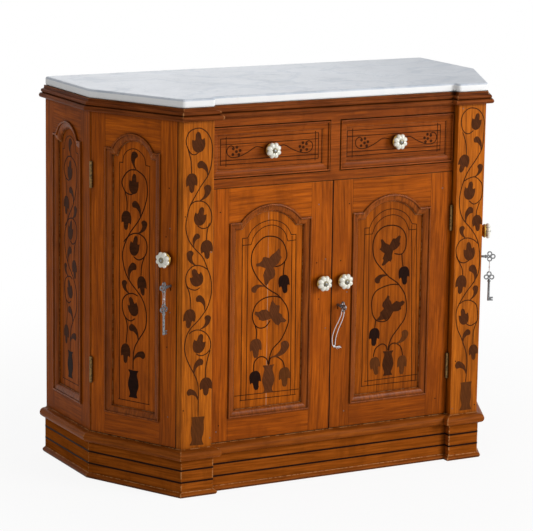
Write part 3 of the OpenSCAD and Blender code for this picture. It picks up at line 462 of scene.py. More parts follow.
def cotton(name, tone):
    """Twisted thread: slanting strands with fluff between them."""
    finish = Finish(name, 0.85)
    slant = finish.x + finish.z * 1.35 + finish.y
    twist = finish.node("ShaderNodeTexWave", {"wave_type": "BANDS"}, {
        "Vector": finish.place(slant, 0, 0), "Scale": 420.0, "Distortion": 1.2})
    fluff = finish.noise(finish.spot, 2600.0, 3.0, 0.6)
    finish.feed("Base Color", finish.mix(
        twist * 0.45 + fluff * 0.25, shade(tone, 1.04), shade(tone, 0.62)))
    finish.bump(twist + fluff * 0.4, 0.6, 0.0003)
    return finish.material


# ---- Faces that carry inlay ----
class Face:
    """A flat face: across and up in millimetres, and a height out of it."""

    def __init__(self, origin, across, out, body):
        self.origin, self.across, self.out, self.body = (
            Vector(origin), Vector(across), Vector(out), body)

    def point(self, a, b, height):
        """A place on the face in the scene's metres."""
        up = Vector((0, 0, b))
        return (self.origin + self.across * a + up + self.out * height) / MM_IN_M

    def mirrored(self, body):
        """The face that lies opposite, on the cabinet's other side."""
        def flip(v):
            return (-v.x, v.y, v.z)
        return Face(flip(self.origin), flip(self.across), flip(self.out), body)


def front(name):
    """How far forward a node reaches, in millimetres. Forward is below nought."""
    return round(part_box(name)[0][1] * MM_IN_M, 2)


def forward(depth, body):
    """A face that looks straight forward."""
    return Face((0, depth, 0), (1, 0, 0), (0, -1, 0), body)


# A cant's panel lies this far behind its frame, and a drawer's field behind its edge
SET_IN = 8
# A side's drawing is the cant's, laid from this far back towards the front
SIDE_START = 252

PILASTER = forward(front("pilasters"), "carcass")
LEFT_PANEL = forward(front("door_left_panel"), "door_left")
RIGHT_PANEL = forward(front("door_right_panel"), "door_right")
LEFT_CANT_FRAME = Face(CANT_CORNER, CANT_ACROSS, CANT_OUT, "side_door_left")
LEFT_CANT = Face([c - SET_IN * o for c, o in zip(CANT_CORNER, CANT_OUT)], CANT_ACROSS, CANT_OUT,
                 "side_door_left")
RIGHT_CANT = LEFT_CANT.mirrored("side_door_right")
LEFT_SIDE = Face((round(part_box("side_panels")[0][0] * MM_IN_M, 2), SIDE_START, 0), (0, -1, 0),
                 (-1, 0, 0), "carcass")
RIGHT_SIDE = LEFT_SIDE.mirrored("carcass")


# ---- Small makers ----
# Points this near are one point, and veneer is this thick, in metres
SAME_POINT = 0.0000005
VENEER = 0.0004


def bare():
    """Leaves edit mode and selects nothing."""
    if bpy.context.object and bpy.context.object.mode != "OBJECT":
        bpy.ops.object.mode_set(mode="OBJECT")
    bpy.ops.object.select_all(action="DESELECT")


def only(piece):
    """The piece as the one that is selected and active."""
    bare()
    piece.select_set(True)
    bpy.context.view_layer.objects.active = piece
    return piece


def settled(piece):
    """The piece with its place in its mesh, unturned and unscaled."""
    only(piece)
    bpy.ops.object.transform_apply(location=True, rotation=True, scale=True)
    return piece


def outward(piece):
    """Merges the doubles of a closed shell and turns its faces outwards."""
    only(piece)
    bpy.ops.object.mode_set(mode="EDIT")
    bpy.ops.mesh.select_all(action="SELECT")
    bpy.ops.mesh.remove_doubles(threshold=SAME_POINT)
    bpy.ops.mesh.normals_make_consistent(inside=False)
    bpy.ops.object.mode_set(mode="OBJECT")
    return piece


def finished(piece, name, material, body, smooth=None):
    """Names a piece, gives it its finish and lets it ride on its body."""
    piece.name = piece.data.name = name
    piece.data.materials.clear()
    piece.data.materials.append(material)
    if smooth is not None:
        only(piece)
        bpy.ops.object.shade_smooth_by_angle(angle=math.radians(smooth))
    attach(piece, body)
    return piece


def joined(pieces):
    """The pieces as one, which keeps the first one's object."""
    bare()
    for piece in pieces:
        piece.select_set(True)
    bpy.context.view_layer.objects.active = pieces[0]
    if len(pieces) > 1:
        bpy.ops.object.join()
    return pieces[0]


def veneered(pieces):
    """Flat slips and strips joined into one piece, half of its thickness on either side."""
    piece = only(joined(pieces))
    wall = piece.modifiers.new("wall", "SOLIDIFY")
    wall.thickness, wall.offset = VENEER, 0.0
    bpy.ops.object.modifier_apply(modifier=wall.name)
    return outward(piece)


def smoothed(points, steps=5):
    """A curve through the points, as a list of closer points."""
    out = []
    ends = [points[0], *points, points[-1]]
    for k in range(1, len(ends) - 2):
        p0, p1, p2, p3 = [Vector(p) for p in ends[k - 1:k + 3]]
        for i in range(steps):
            t = i / steps
            out.append(0.5 * ((2 * p1) + (p2 - p0) * t + (2 * p0 - 5 * p1 + 4 * p2 - p3) * t * t
                              + (3 * p1 - p0 - 3 * p2 + p3) * t ** 3))
    out.append(Vector(points[-1]))
    return out


def slip(outline):
    """A flat slip of veneer of that outline, across and up on its face."""
    bare()
    bpy.ops.mesh.primitive_circle_add(vertices=len(outline), radius=1, fill_type="NGON")
    piece = bpy.context.object
    for vertex, (a, b) in zip(piece.data.vertices, outline):
        vertex.co = (a, b, 0)
    return piece


def turned(profile, around=48):
    """A closed piece turned about its own axis from a profile of radii and heights."""
    bare()
    rows = len(profile) - 1
    bpy.ops.mesh.primitive_grid_add(x_subdivisions=around, y_subdivisions=rows, size=2)
    piece = bpy.context.object
    for vertex in piece.data.vertices:
        turn = (vertex.co.x + 1) * math.pi
        radius, height = profile[round((vertex.co.y + 1) / 2 * rows)]
        vertex.co = (radius * math.cos(turn), radius * math.sin(turn), height)
    return piece


# A tapered ribbon's ends have this share of its width, and a sharp turn widens it no further
ENDS_SHARE = 0.45
SHARPEST_TURN = 0.3


def ribbon(route, width, taper=False):
    """A strip of even width along a route, across and up on its face."""
    n = len(route) - 1
    bare()
    bpy.ops.mesh.primitive_grid_add(x_subdivisions=n, y_subdivisions=1, size=2)
    piece = bpy.context.object
    ways = [(Vector(q) - Vector(p)).normalized() for p, q in zip(route, route[1:])]
    for vertex in piece.data.vertices:
        k = round((vertex.co.x + 1) / 2 * n)
        before, after = ways[max(k - 1, 0)], ways[min(k, n - 1)]
        both = before + after
        side = Vector((-both.y, both.x)) / max(1 + before.dot(after), SHARPEST_TURN)
        half = width / 2 * (ENDS_SHARE if taper and k in (0, n) else 1)
        vertex.co.xy = Vector(route[k]) + side * half * (1 if vertex.co.y > 0 else -1)
    return piece


def laid(piece, face, height):
    """Moves a piece drawn across and up onto its face, at a height above it."""
    for vertex in piece.data.vertices:
        vertex.co = face.point(vertex.co.x, vertex.co.y, height)
    piece.matrix_world = Matrix.Identity(4)
    return piece


def halves(profile, steps=3):
    """A closed outline from one side of it and its mirror image."""
    side = [(p.x, p.y) for p in smoothed(profile, steps)]
    return side + [(-a, b) for a, b in side[-2:0:-1]]


# Shapes of the inlay, one unit long from their stalk to their tip
TULIP = halves([(0, 0), (0.20, 0.03), (0.36, 0.12), (0.46, 0.25), (0.50, 0.40), (0.49, 0.53),
                (0.46, 0.66), (0.36, 0.61), (0.25, 0.62), (0.22, 0.72), (0.20, 0.84), (0.13, 0.95),
                (0, 1)])
BUD = halves([(0, 0), (0.20, 0.01), (0.38, 0.10), (0.48, 0.25), (0.50, 0.45), (0.48, 0.62),
              (0.36, 0.58), (0.28, 0.60), (0.24, 0.74), (0.22, 0.88), (0.12, 0.99), (0, 1)])
COMMA = [(p.x, p.y) for p in smoothed([
    (0.02, -0.11), (0.14, -0.08), (0.21, 0.0), (0.27, 0.15), (0.30, 0.30), (0.29, 0.45), (0.24, 0.62),
    (0.15, 0.80), (0.05, 0.95), (0.0, 1.0), (0.02, 0.90), (0.07, 0.75), (0.08, 0.60), (0.05, 0.47),
    (-0.01, 0.34), (-0.10, 0.27), (-0.19, 0.22), (-0.22, 0.14), (-0.20, 0.04), (-0.13, -0.06),
    (0.02, -0.11)], 3)][:-1]
DOT = [(math.cos(k * math.pi / 6), math.sin(k * math.pi / 6)) for k in range(12)]
VASE = halves([(0, 0), (0.40, 0), (0.38, 0.04), (0.31, 0.13), (0.38, 0.24), (0.49, 0.40),
               (0.50, 0.50), (0.44, 0.66), (0.35, 0.80), (0.35, 0.90), (0.47, 0.98), (0.40, 1),
               (0, 0.985)], 2)
BEAKER = halves([(0, 0), (0.50, 0), (0.46, 0.06), (0.36, 0.20), (0.44, 0.36), (0.48, 0.52),
                 (0.46, 0.70), (0.43, 0.84), (0.46, 0.96), (0.47, 1), (0, 1)], 2)


def placed(outline, start, tip, width, flip=1):
    """An outline moved so that it runs from start to tip, at its own width."""
    start, tip = Vector(start), Vector(tip)
    along = tip - start
    side = Vector((-along.y, along.x)).normalized() * flip
    return [tuple(start + along * v + side * (u * width)) for u, v in outline]


# ---- The drawings, in millimetres across and up each face ----
# A vine's routes, then its flowers and buds (stalk, tip, width, and the wood where it isn't
# rosewood), commas (head, tail, side), leaves (outline) and vase or beaker (foot, rim, width).
LEFT_PILASTER = {
    "vine_share": 0.85,
    "vines": [
        [(-356, 782), (-364, 777), (-374, 779), (-383, 792), (-387, 810), (-380, 827), (-366, 834),
         (-350, 834), (-335, 823), (-326, 807), (-322, 785), (-325, 751), (-333, 728), (-349, 707),
         (-364, 684), (-376, 664), (-383, 642), (-386, 615), (-380, 590), (-365, 568), (-344, 546),
         (-331, 517), (-323, 495), (-321, 468), (-325, 448), (-333, 428), (-352, 405), (-372, 387),
         (-383, 369), (-387, 342), (-380, 314), (-363, 282), (-354, 261), (-352, 236), (-352, 211),
         (-352, 182)],
        [(-383, 792), (-376, 769), (-374, 752), (-373, 735)],
        [(-376, 664), (-368, 671), (-355, 673), (-340, 669), (-328, 656), (-322, 637), (-325, 620),
         (-334, 612), (-346, 611), (-358, 618)],
        [(-328, 622), (-333, 605), (-335, 583)],
        [(-331, 517), (-344, 525), (-360, 529), (-374, 524), (-384, 510), (-385, 493), (-379, 480),
         (-362, 473), (-350, 478)],
        [(-384, 486), (-377, 470), (-373, 450), (-372, 430)],
        [(-376, 375), (-368, 380), (-354, 382), (-337, 375), (-325, 360), (-322, 343), (-327, 330),
         (-339, 323), (-350, 323), (-358, 328)],
        [(-323, 333), (-330, 311), (-334, 289), (-334, 269)]],
    "flowers": [
        ((-355, 781), (-358, 827), 32), ((-373, 736), (-372, 692), 28), ((-355, 618), (-346, 659), 30),
        ((-336, 584), (-332, 541), 30), ((-352, 482), (-367, 521), 32), ((-373, 431), (-379, 388), 30),
        ((-356, 329), (-345, 372), 31), ((-333, 271), (-333, 229), 31)],
    "commas": [
        ((-353, 757), (-333, 724), 1), ((-331, 703), (-355, 672), 1), ((-357, 597), (-365, 568), -1),
        ((-377, 559), (-358, 527), -1), ((-354, 456), (-338, 424), 1), ((-328, 409), (-350, 382), 1),
        ((-346, 311), (-363, 278), -1), ((-376, 243), (-352, 219), 1)],
    "beaker": ((-355, 117), (-352, 182), 34)}
RIGHT_PILASTER = {
    "vine_share": 0.85,
    "vines": [
        [(360, 789), (347, 782), (335, 786), (327, 800), (327, 823), (339, 838), (355, 842),
         (373, 836), (387, 817), (389, 792), (388, 764), (383, 741), (366, 716), (346, 690),
         (333, 660), (327, 632), (329, 603), (339, 580), (363, 554), (379, 530), (386, 506),
         (388, 480), (386, 450), (373, 427), (352, 403), (334, 377), (327, 356), (331, 321),
         (344, 294), (356, 264), (361, 242), (361, 210), (359, 186)],
        [(330, 787), (340, 759), (342, 733)],
        [(336, 670), (349, 676), (367, 679), (382, 669), (389, 656), (388, 630), (378, 618),
         (365, 615), (353, 624)],
        [(383, 619), (376, 600), (375, 587)],
        [(382, 519), (370, 529), (351, 535), (333, 530), (323, 516), (322, 501), (330, 482),
         (344, 476), (359, 481)],
        [(322, 494), (333, 475), (340, 462), (342, 446)],
        [(334, 377), (347, 384), (365, 384), (382, 373), (387, 355), (387, 334), (376, 325),
         (366, 323), (355, 329)],
        [(387, 334), (378, 312), (377, 293), (377, 275)]],
    "flowers": [
        ((364, 790), (371, 829), 27), ((342, 733), (327, 692), 29), ((351, 626), (358, 669), 30),
        ((375, 588), (381, 549), 27), ((361, 481), (355, 525), 31), ((340, 447), (335, 402), 30),
        ((352, 327), (344, 366), 27), ((377, 276), (380, 238), 26)],
    "commas": [
        ((367, 770), (382, 739), 1), ((383, 705), (365, 678), 1), ((359, 604), (347, 568), -1),
        ((335, 561), (350, 533), -1), ((367, 465), (374, 424), 1), ((380, 415), (364, 385), 1),
        ((363, 310), (348, 279), -1), ((334, 233), (361, 203), 1)],
    "beaker": ((361, 118), (361, 186), 32)}
CANT = {
    "vines": [
        [(128, 729), (148, 718), (157, 702), (157, 667), (139, 622), (107, 580), (89, 537),
         (96, 497), (111, 473), (129, 456), (145, 439), (155, 418), (158, 395), (154, 370),
         (136, 343), (125, 324), (121, 303), (120, 270)],
        [(128, 729), (110, 727), (96, 716), (87, 700), (90, 686), (99, 675), (112, 672), (120, 676)],
        [(96, 678), (101, 655), (101, 634)],
        [(92, 562), (109, 579), (129, 586), (147, 581), (157, 569), (158, 549), (149, 533),
         (134, 526), (120, 532)],
        [(152, 537), (144, 515), (142, 490)],
        [(133, 443), (118, 447), (101, 442), (90, 429), (89, 409), (97, 390), (112, 383), (125, 390)],
        [(97, 390), (103, 369), (100, 329)]],
    "strings": [
        [(81, 197), (80, 742), (89, 742), *smoothed([
            (89.5, 743), (90, 750), (93, 760), (104, 771), (121, 776), (137, 771), (148.5, 761),
            (153, 750), (154, 743)]), (155, 742), (165.5, 741), (166, 197)],
        [(78, 197), (168, 197)]],
    "flowers": [
        ((119, 674), (122, 720), 27), ((101, 634), (98, 590), 28), ((119, 534), (128, 580), 27),
        ((142, 490), (148, 446), 26), ((126, 396), (111, 438), 28), ((99, 329), (98, 283), 27)],
    "commas": [
        ((122, 766), (128, 728), -1), ((122, 654), (139, 621), 1), ((153, 613), (130, 585), 1),
        ((122, 513), (109, 475), -1), ((93, 471), (111, 444), -1), ((114, 371), (135, 339), 1),
        ((150, 311), (119, 289), -1)],
    "dark_vase": ((121, 206), (121, 270), 30)}
LEFT_DOOR = {
    "vines": [
        [(-147, 503), (-131, 506), (-119, 518), (-117, 533), (-125, 555), (-138, 568), (-155, 574),
         (-173, 574), (-187, 566), (-200, 552), (-207, 535), (-206, 509), (-192, 482), (-174, 462),
         (-156, 448), (-136, 435), (-116, 410), (-110, 388), (-112, 365), (-128, 333), (-150, 312),
         (-158, 292), (-160, 275)],
        [(-122, 514), (-124, 496), (-125, 481)],
        [(-129, 429), (-142, 434), (-156, 435), (-172, 433), (-187, 426), (-198, 414), (-203, 396),
         (-201, 382), (-194, 370), (-182, 364), (-168, 367), (-157, 380)],
        [(-196, 371), (-192, 358), (-193, 339)],
        [(-161, 277), (-164, 289), (-173, 296), (-184, 297), (-194, 290), (-198, 280), (-198, 264)],
        [(-158, 277), (-156, 290), (-147, 294), (-137, 292), (-125, 283), (-120, 273), (-119, 265)]],
    "strings": [
        [(-230, 200), (-231, 575), (-218, 575), *smoothed([
            (-217.5, 576), (-208, 591), (-196, 601), (-180, 608), (-160, 611.5), (-141, 608),
            (-125, 600), (-114, 589), (-106, 574)]), (-94, 574), (-90, 200)],
        [(-217, 200), (-217, 574)], [(-104, 571), (-102, 200)],
        [(-230, 559), (-209, 559), *smoothed([
            (-208.5, 560), (-203, 575), (-194, 586), (-179, 596), (-160, 600), (-144, 597),
            (-129, 588), (-120, 575), (-115, 561)]), (-114, 560), (-94, 561)],
        [(-247, 212), (-80, 211)], [(-233, 200), (-88, 199)]],
    "leaves": [
        [(-137, 545), (-134, 536), (-135, 530), (-130, 524), (-139, 510), (-151, 501), (-147, 495),
         (-146, 485), (-150, 478), (-160, 473), (-164, 466), (-169, 461), (-173, 466), (-174, 474),
         (-177, 486), (-174, 495), (-170, 501), (-184, 507), (-195, 508), (-195, 514), (-187, 515),
         (-180, 520), (-178, 527), (-172, 528), (-162, 524), (-157, 530), (-147, 536)],
        [(-152, 426), (-147, 419), (-143, 414), (-133, 412), (-134, 402), (-136, 396), (-127, 390),
         (-126, 385), (-115, 376), (-119, 372), (-130, 373), (-135, 366), (-144, 370), (-155, 384),
         (-163, 382), (-176, 380), (-186, 384), (-187, 389), (-198, 398), (-196, 404), (-187, 402),
         (-179, 406), (-168, 406), (-159, 399), (-159, 408), (-155, 422)]],
    "buds": [((-126, 482), (-119, 440), 28, "ebony"), ((-194, 340), (-193, 296), 30),
             ((-197, 265), (-190, 221), 29, "ebony"), ((-119, 266), (-117, 221), 29, "brown")],
    "commas": [((-203, 454), (-171, 459), 1), ((-114, 321), (-156, 293), 1)],
    "vase": ((-160, 211), (-160, 276), 31)}
RIGHT_DOOR = {
    "vines": [
        [(168, 508), (187, 505), (197, 515), (200, 528), (199, 545), (192, 560), (180, 570),
         (164, 575), (147, 575), (133, 571), (120, 560), (112, 545), (110, 529), (112, 510),
         (118, 495), (129, 481), (153, 456), (168, 445), (182, 434), (200, 408), (205, 380),
         (202, 353), (185, 330), (168, 310), (159, 290), (158, 277)],
        [(189, 505), (190, 491), (193, 474)],
        [(182, 433), (168, 435), (154, 434), (137, 430), (123, 424), (114, 413), (110, 398),
         (111, 381), (114, 367), (123, 354), (136, 349), (148, 349), (158, 355), (168, 371)],
        [(122, 354), (121, 344), (120, 334)],
        [(155, 277), (153, 288), (143, 295), (132, 292), (122, 283), (118, 266)],
        [(160, 277), (162, 289), (171, 294), (181, 292), (193, 281), (198, 261)]],
    "strings": [
        [(88, 199), (87, 574), (100, 574), *smoothed([
            (100.5, 575), (107, 588), (116, 598), (135, 610), (156, 614), (175, 611), (194, 602),
            (206, 590), (214, 576)]), (215, 575), (227, 573), (236, 199)],
        [(104, 199), (99, 574)], [(214, 573), (224, 199)],
        [(87, 559), (108, 559), *smoothed([
            (108.5, 560), (113, 573), (121, 584), (138, 596), (160, 600), (178, 596), (192, 587),
            (200, 576), (206, 562)]), (206, 561), (228, 561)],
        [(95, 210), (240, 212)], [(86, 199), (239, 198)]],
    "leaves": [
        [(180, 550), (185, 547), (181, 534), (184, 531), (181, 525), (174, 519), (165, 515),
         (162, 504), (163, 497), (158, 489), (155, 492), (144, 484), (138, 481), (135, 484),
         (140, 495), (137, 498), (142, 510), (132, 518), (128, 521), (132, 525), (133, 532),
         (131, 544), (136, 544), (143, 535), (155, 529), (158, 535), (164, 544), (171, 543)],
        [(153, 410), (158, 408), (158, 400), (163, 394), (165, 387), (177, 395), (186, 391),
         (195, 394), (200, 390), (197, 384), (190, 380), (191, 374), (183, 370), (165, 370),
         (157, 356), (148, 351), (145, 354), (131, 352), (125, 355), (134, 364), (134, 371),
         (144, 379), (139, 386), (140, 393), (149, 403)]],
    "buds": [((194, 475), (199, 432), 29, "ebony"), ((120, 335), (118, 293), 28, "ebony"),
             ((119, 265), (128, 223), 27, "brown"), ((197, 262), (196, 217), 26, "brown")],
    "commas": [((121, 447), (154, 457), 1), ((206, 317), (173, 291), 1, "brown")],
    "vase": ((158, 218), (158, 277), 30)}
# Half of a drawer's scroll, across from the knob
SCROLL = {
    "vine_share": 0.7,
    "vines": [[(91, 783), (99, 787), (107, 782), (109, 773), (104, 764), (92, 760), (74, 763),
               (55, 771), (36, 781), (18, 778)]],
    "dots": [(76, 775), (84, 783), (93, 780), (85, 773), (79, 766), (94, 767)]}


# A drawer's dots have this radius, and strings lie this share as high as vines
DOT_RADIUS = 3.4
STRING_HEIGHT_SHARE = 0.8


def veneer(name, face, design, sizes, wood_of, flip=1, shift=0):
    """Lays a design into its face: one piece for each wood it is cut from."""
    def at(p):
        return (p[0] * flip + shift, p[1])

    groups = {"line": [], "rosewood": [], "ebony": [], "brown": []}
    low, high = sizes.proud * MM_IN_M, sizes.proud * MM_IN_M * 1.5
    vine_width = sizes.vine * design.get("vine_share", 1) * MM_IN_M

    def lay(outline, group="rosewood"):
        groups[group].append(laid(slip([at(p) for p in outline]), face, high))

    for route in design.get("vines", []):
        vine = ribbon([at(p) for p in smoothed(route)], vine_width, True)
        groups["line"].append(laid(vine, face, low))
    for route in design.get("strings", []):
        string = ribbon([at(p) for p in route], sizes.string * MM_IN_M)
        groups["line"].append(laid(string, face, low * STRING_HEIGHT_SHARE))
    for kind, shape in (("flowers", TULIP), ("buds", BUD)):
        for start, tip, width, *group in design.get(kind, []):
            lay(placed(shape, start, tip, width), *group)
    for head, tail, side, *group in design.get("commas", []):
        reach = (Vector(tail) - Vector(head)).length
        lay(placed(COMMA, head, tail, reach, side), *group)
    for outline in design.get("leaves", []):
        lay(outline)
    for a, b in design.get("dots", []):
        lay([(a + DOT_RADIUS * u, b + DOT_RADIUS * v) for u, v in DOT])
    for key, group, shape in (("vase", "rosewood", VASE), ("dark_vase", "ebony", VASE),
                              ("beaker", "brown", BEAKER)):
        if key in design:
            lay(placed(shape, *design[key]), group)
    for group, pieces in groups.items():
        if pieces:
            finished(veneered(pieces), f"{name}_{group}", wood_of[group], face.body)


# Heights of the rails in metres, from and to. A foot rail's joints end just under its arch.
DOOR_FOOT = (0.111, 0.1635)
DOOR_FOOT_JOINT = (0.111, 0.163)
DOOR_HEAD = (0.6125, 0.70)
SIDE_FOOT = (0.11, 0.162)
SIDE_HEAD = (0.7745, 0.852)
# How deep the painted shade in the gap of a door's edge goes, from and to, in metres
FRONT_GAP = (-0.22, -0.209)
CANT_GAP = (0.4495, 0.46)
# Along a cant from its back corner, in metres: the ends of its door's rails and the free edge of the
# door; then the width of the painted gap shade there
CANT_RAIL_ENDS = (0.045, 0.2022)
CANT_DOOR_EDGE = 0.2477
CANT_GAP_WIDTH = 0.004

FINISHES = {}


def rails_of(ends, *heights):
    """The areas of the rails that lie between two stiles, at each height."""
    return [(*ends, *height) for height in heights]


def joints_of(places, *heights):
    """The joints between rails and stiles, at each place across and each height."""
    return [(place, *height) for height in heights for place in places]


def cant_wood(name, tone, across):
    """Frame of a canted door, its rails lying level between the stiles."""
    start = sum(c * a for c, a in zip(CANT_CORNER, CANT_ACROSS)) / MM_IN_M
    ends = [start + end for end in CANT_RAIL_ENDS]
    edge = start + CANT_DOOR_EDGE
    return wood(name, tone, across=across, rails=rails_of(ends, DOOR_FOOT, SIDE_HEAD),
                joints=joints_of(ends, DOOR_FOOT_JOINT, SIDE_HEAD),
                gap_shadows=[(edge, edge + CANT_GAP_WIDTH, *CANT_GAP)])


def finishes(colours):
    """All the finishes, made once."""
    if FINISHES:
        return FINISHES
    tones = {key: tuple(getattr(colours, key)) for key in CabinetColours.__annotations__}
    left_edge, right_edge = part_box("door_left_frame")[1][0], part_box("door_right_frame")[0][0]
    # The sides take a darker copy of the teak and the cants a lighter one: partly the wood's own tone,
    # partly painted shade and painted light for how the light falls on those faces
    side, cant = shade(tones["teak"], 0.82), shade(tones["teak"], 1.05)
    side_stiles = (0.05, 0.207)
    FINISHES.update({
        "left_door_teak": wood(
            "left_door_teak", tones["teak"], rails=rails_of((-0.27, -0.059), DOOR_FOOT, DOOR_HEAD),
            joints=joints_of((-0.268, -0.0588), DOOR_FOOT_JOINT, DOOR_HEAD),
            gap_shadows=[(left_edge - 0.001, left_edge + 0.001, *FRONT_GAP)]),
        # The right door's frame and panel take darker copies of the teak: painted shade, as the light
        # falls from the left
        "right_door_teak": wood(
            "right_door_teak", shade(tones["teak"], 0.88),
            rails=rails_of((0.049, 0.259), DOOR_FOOT, DOOR_HEAD),
            joints=joints_of((0.0498, 0.259), DOOR_FOOT_JOINT, DOOR_HEAD),
            gap_shadows=[(right_edge - 0.001, right_edge + 0.0008, *FRONT_GAP)]),
        "left_panel": wood("left_panel", tones["panel"], pale_joint=-0.165),
        # A darker copy of the panel wood for the right door: painted shade
        "right_panel": wood("right_panel", shade(tones["panel"], 0.74, 1.02)),
        "frieze_teak": wood("frieze_teak", tones["drawer"], level=True),
        "drawer_teak": wood("drawer_teak", tones["drawer"], level=True, wear_and_edge_highlight=0.9, corner_shade_and_grime=0.9),
        "left_cant_teak": cant_wood("left_cant_teak", cant, "left_cant"),
        "right_cant_teak": cant_wood("right_cant_teak", cant, "right_cant"),
        "left_cant_panel": wood("left_cant_panel", cant, across="left_cant"),
        "right_cant_panel": wood("right_cant_panel", cant, across="right_cant"),
        "side_teak": wood("side_teak", side, across="y", shine=0.015,
                          rails=rails_of(side_stiles, SIDE_FOOT, SIDE_HEAD),
                          joints=joints_of(side_stiles, SIDE_FOOT, SIDE_HEAD)),
        "side_panel": wood("side_panel", side, across="y", shine=0.015),
        "moulding": wood("moulding", tones["moulding"], wear_and_edge_highlight=1.0, gloss=0.28, shine=0.09, corner_shade_and_grime=0.9),
        "cornice": wood("cornice", tones["cornice"], level=True, wear_and_edge_highlight=1.3, gloss=0.4, contrast=1.3,
                        shine=0.03),
        "foot_moulding": wood("foot_moulding", shade(tones["plinth"], 0.92), level=True, wear_and_edge_highlight=1.4,
                              gloss=0.34, shine=0.03),
        "honey": wood("honey", tones["honey"]),
        "plinth": wood("plinth", tones["plinth"], level=True, wear_and_edge_highlight=1.6, shine=0.0),
        "plain": wood("plain", tones["plain"], gloss=0.6, wear_and_edge_highlight=1.2, shine=0.1),
        "plain_level": wood("plain_level", tones["plain"], level=True, gloss=0.6, wear_and_edge_highlight=1.2, shine=0.1),
        "rosewood": inlay_wood("rosewood", tones["rosewood"]),
        # A lighter copy of the rosewood for the left door's inlay: painted reflection
        "pale_rosewood": inlay_wood("pale_rosewood", shade(tones["rosewood"], 2.0, 0.98)),
        "mid_rosewood": inlay_wood("mid_rosewood", shade(tones["rosewood"], 1.45)),
        "mid_line": inlay_wood("mid_line", shade(tones["line"], 1.8), 0.25, 0.2),
        "ebony": inlay_wood("ebony", tones["ebony"], 0.3, -0.4),
        "brown": inlay_wood("brown", tones["brown"], 0.3, 0.15),
        "line": inlay_wood("line", tones["line"], 0.25, 0.2),
        "putty": inlay_wood("putty", FILLER, 0.3, 0.2),
        "marble": marble("marble", tones["marble"]),
        "porcelain": porcelain("porcelain", tones["porcelain"]),
        "stain": porcelain("stain", GROOVE_STAIN),
        "brass": metal("brass", tones["brass"], DULL_BRASS, 260.0, 0.24),
        "hinge": metal("hinge", tones["hinge"], DULL_HINGE, 260.0, 0.42),
        "tarnish": metal("tarnish", TARNISHED, DULL_TARNISHED, 400.0, 0.35),
        "iron": metal("iron", tones["iron"], DULL_IRON, 300.0, 0.38),
        "cotton": cotton("cotton", tones["cotton"]),
    })
    return FINISHES


# ---- Operators ----
# The camera that was fitted to the photograph, in metres, and its lens in millimetres
CAMERA_SPOT = (-2.8014, -5.0502, 1.6259)
CAMERA_LOOK = (0.46804, 0.86106, -0.19877)
CAMERA_UP = (0.08213, 0.18157, 0.97994)
CAMERA_LENS = 168.26
CAMERA_SENSOR = 36


class CABINET_OT_camera(bpy.types.Operator):
    """Set up the camera at the photograph's viewing angle"""
    bl_idname = "cabinet.camera"
    bl_label = "Camera"

    def execute(self, context):
        data = bpy.data.cameras.new("camera")
        data.lens, data.sensor_width = CAMERA_LENS, CAMERA_SENSOR
        data.clip_end = 100
        camera = bpy.data.objects.new("camera", data)
        look = Vector(CAMERA_LOOK).normalized()
        side = look.cross(Vector(CAMERA_UP)).normalized()
        up = side.cross(look)
        turn = Matrix((side, up, -look)).transposed().to_4x4()
        camera.matrix_world = Matrix.Translation(CAMERA_SPOT) @ turn
        context.scene.collection.objects.link(camera)
        context.scene.camera = camera
        context.scene.view_settings.view_transform = "Standard"
        return {"FINISHED"}


# The loop's route round the key's bow and down, across, up and out, from the ring's middle
STRING_START = (14.75, -239, 390.8)
STRING_ROUTE = [
    (-0.2, 3.3, 0), (-1.8, 2.8, 0), (-2.9, 1.6, 0), (-3.3, 0, 0), (-3.4, -4, -0.5), (-4, -10, -2),
    (-6, -18, -4.5), (-8.5, -26, -7), (-11, -34, -10), (-13, -42, -13), (-14.3, -50, -16),
    (-15, -58, -18.8), (-15, -66, -21), (-14, -74, -22.4), (-13, -80, -22.9), (-12, -83.5, -22.9),
    (-9.5, -86, -22.9), (-6.5, -84.5, -22.9), (-5.5, -81, -22.9), (-5.5, -74, -22.2),
    (-5.5, -66, -20.6), (-5, -58, -18.2), (-4, -50, -15.4), (-3, -42, -12.4), (-1, -34, -9.6),
    (1, -26, -6.8), (2.5, -18, -4.2), (3.2, -10, -2), (3.4, -4, -0.5), (3.3, 0, 0), (2.9, 1.6, 0),
    (1.8, 2.8, 0), (0.2, 3.3, 0)]
# The point of the route at which it turns back, where the knot lies
STRING_FOOT = 16
# A tie's route across and up on its cant, from the ring that it hangs on
TIE_START = (231.7, 469.8)
TIE_OUT = 24
TIE_ROUTE = [
    (-0.2, 2.8), (-1.5, 2.4), (-2.4, 1.4), (-2.8, 0), (-2.8, -4.5), (-2.3, -10), (-2.1, -16),
    (-2.5, -21.5), (-2.8, -26), (-2.4, -27.4), (-1.4, -28.4), (0, -28.8), (1.4, -28.4), (2.4, -27.4),
    (2.8, -26), (2.5, -21.5), (2.7, -16), (2.4, -10), (2.8, -4.5), (2.8, 0), (2.4, 1.4), (1.5, 2.4),
    (0.2, 2.8)]


def thread(name, points, thickness):
    """A curve of one open spline through the points, round in section."""
    data = bpy.data.curves.new(name, "CURVE")
    data.dimensions = "3D"
    data.bevel_depth, data.bevel_resolution = thickness / 2, 3
    data.use_fill_caps = True
    line = data.splines.new("POLY")
    line.points.add(len(points) - 1)
    for spot, p in zip(line.points, points):
        spot.co = (*p, 1)
    piece = bpy.data.objects.new(name, data)
    bpy.context.scene.collection.objects.link(piece)
    return piece


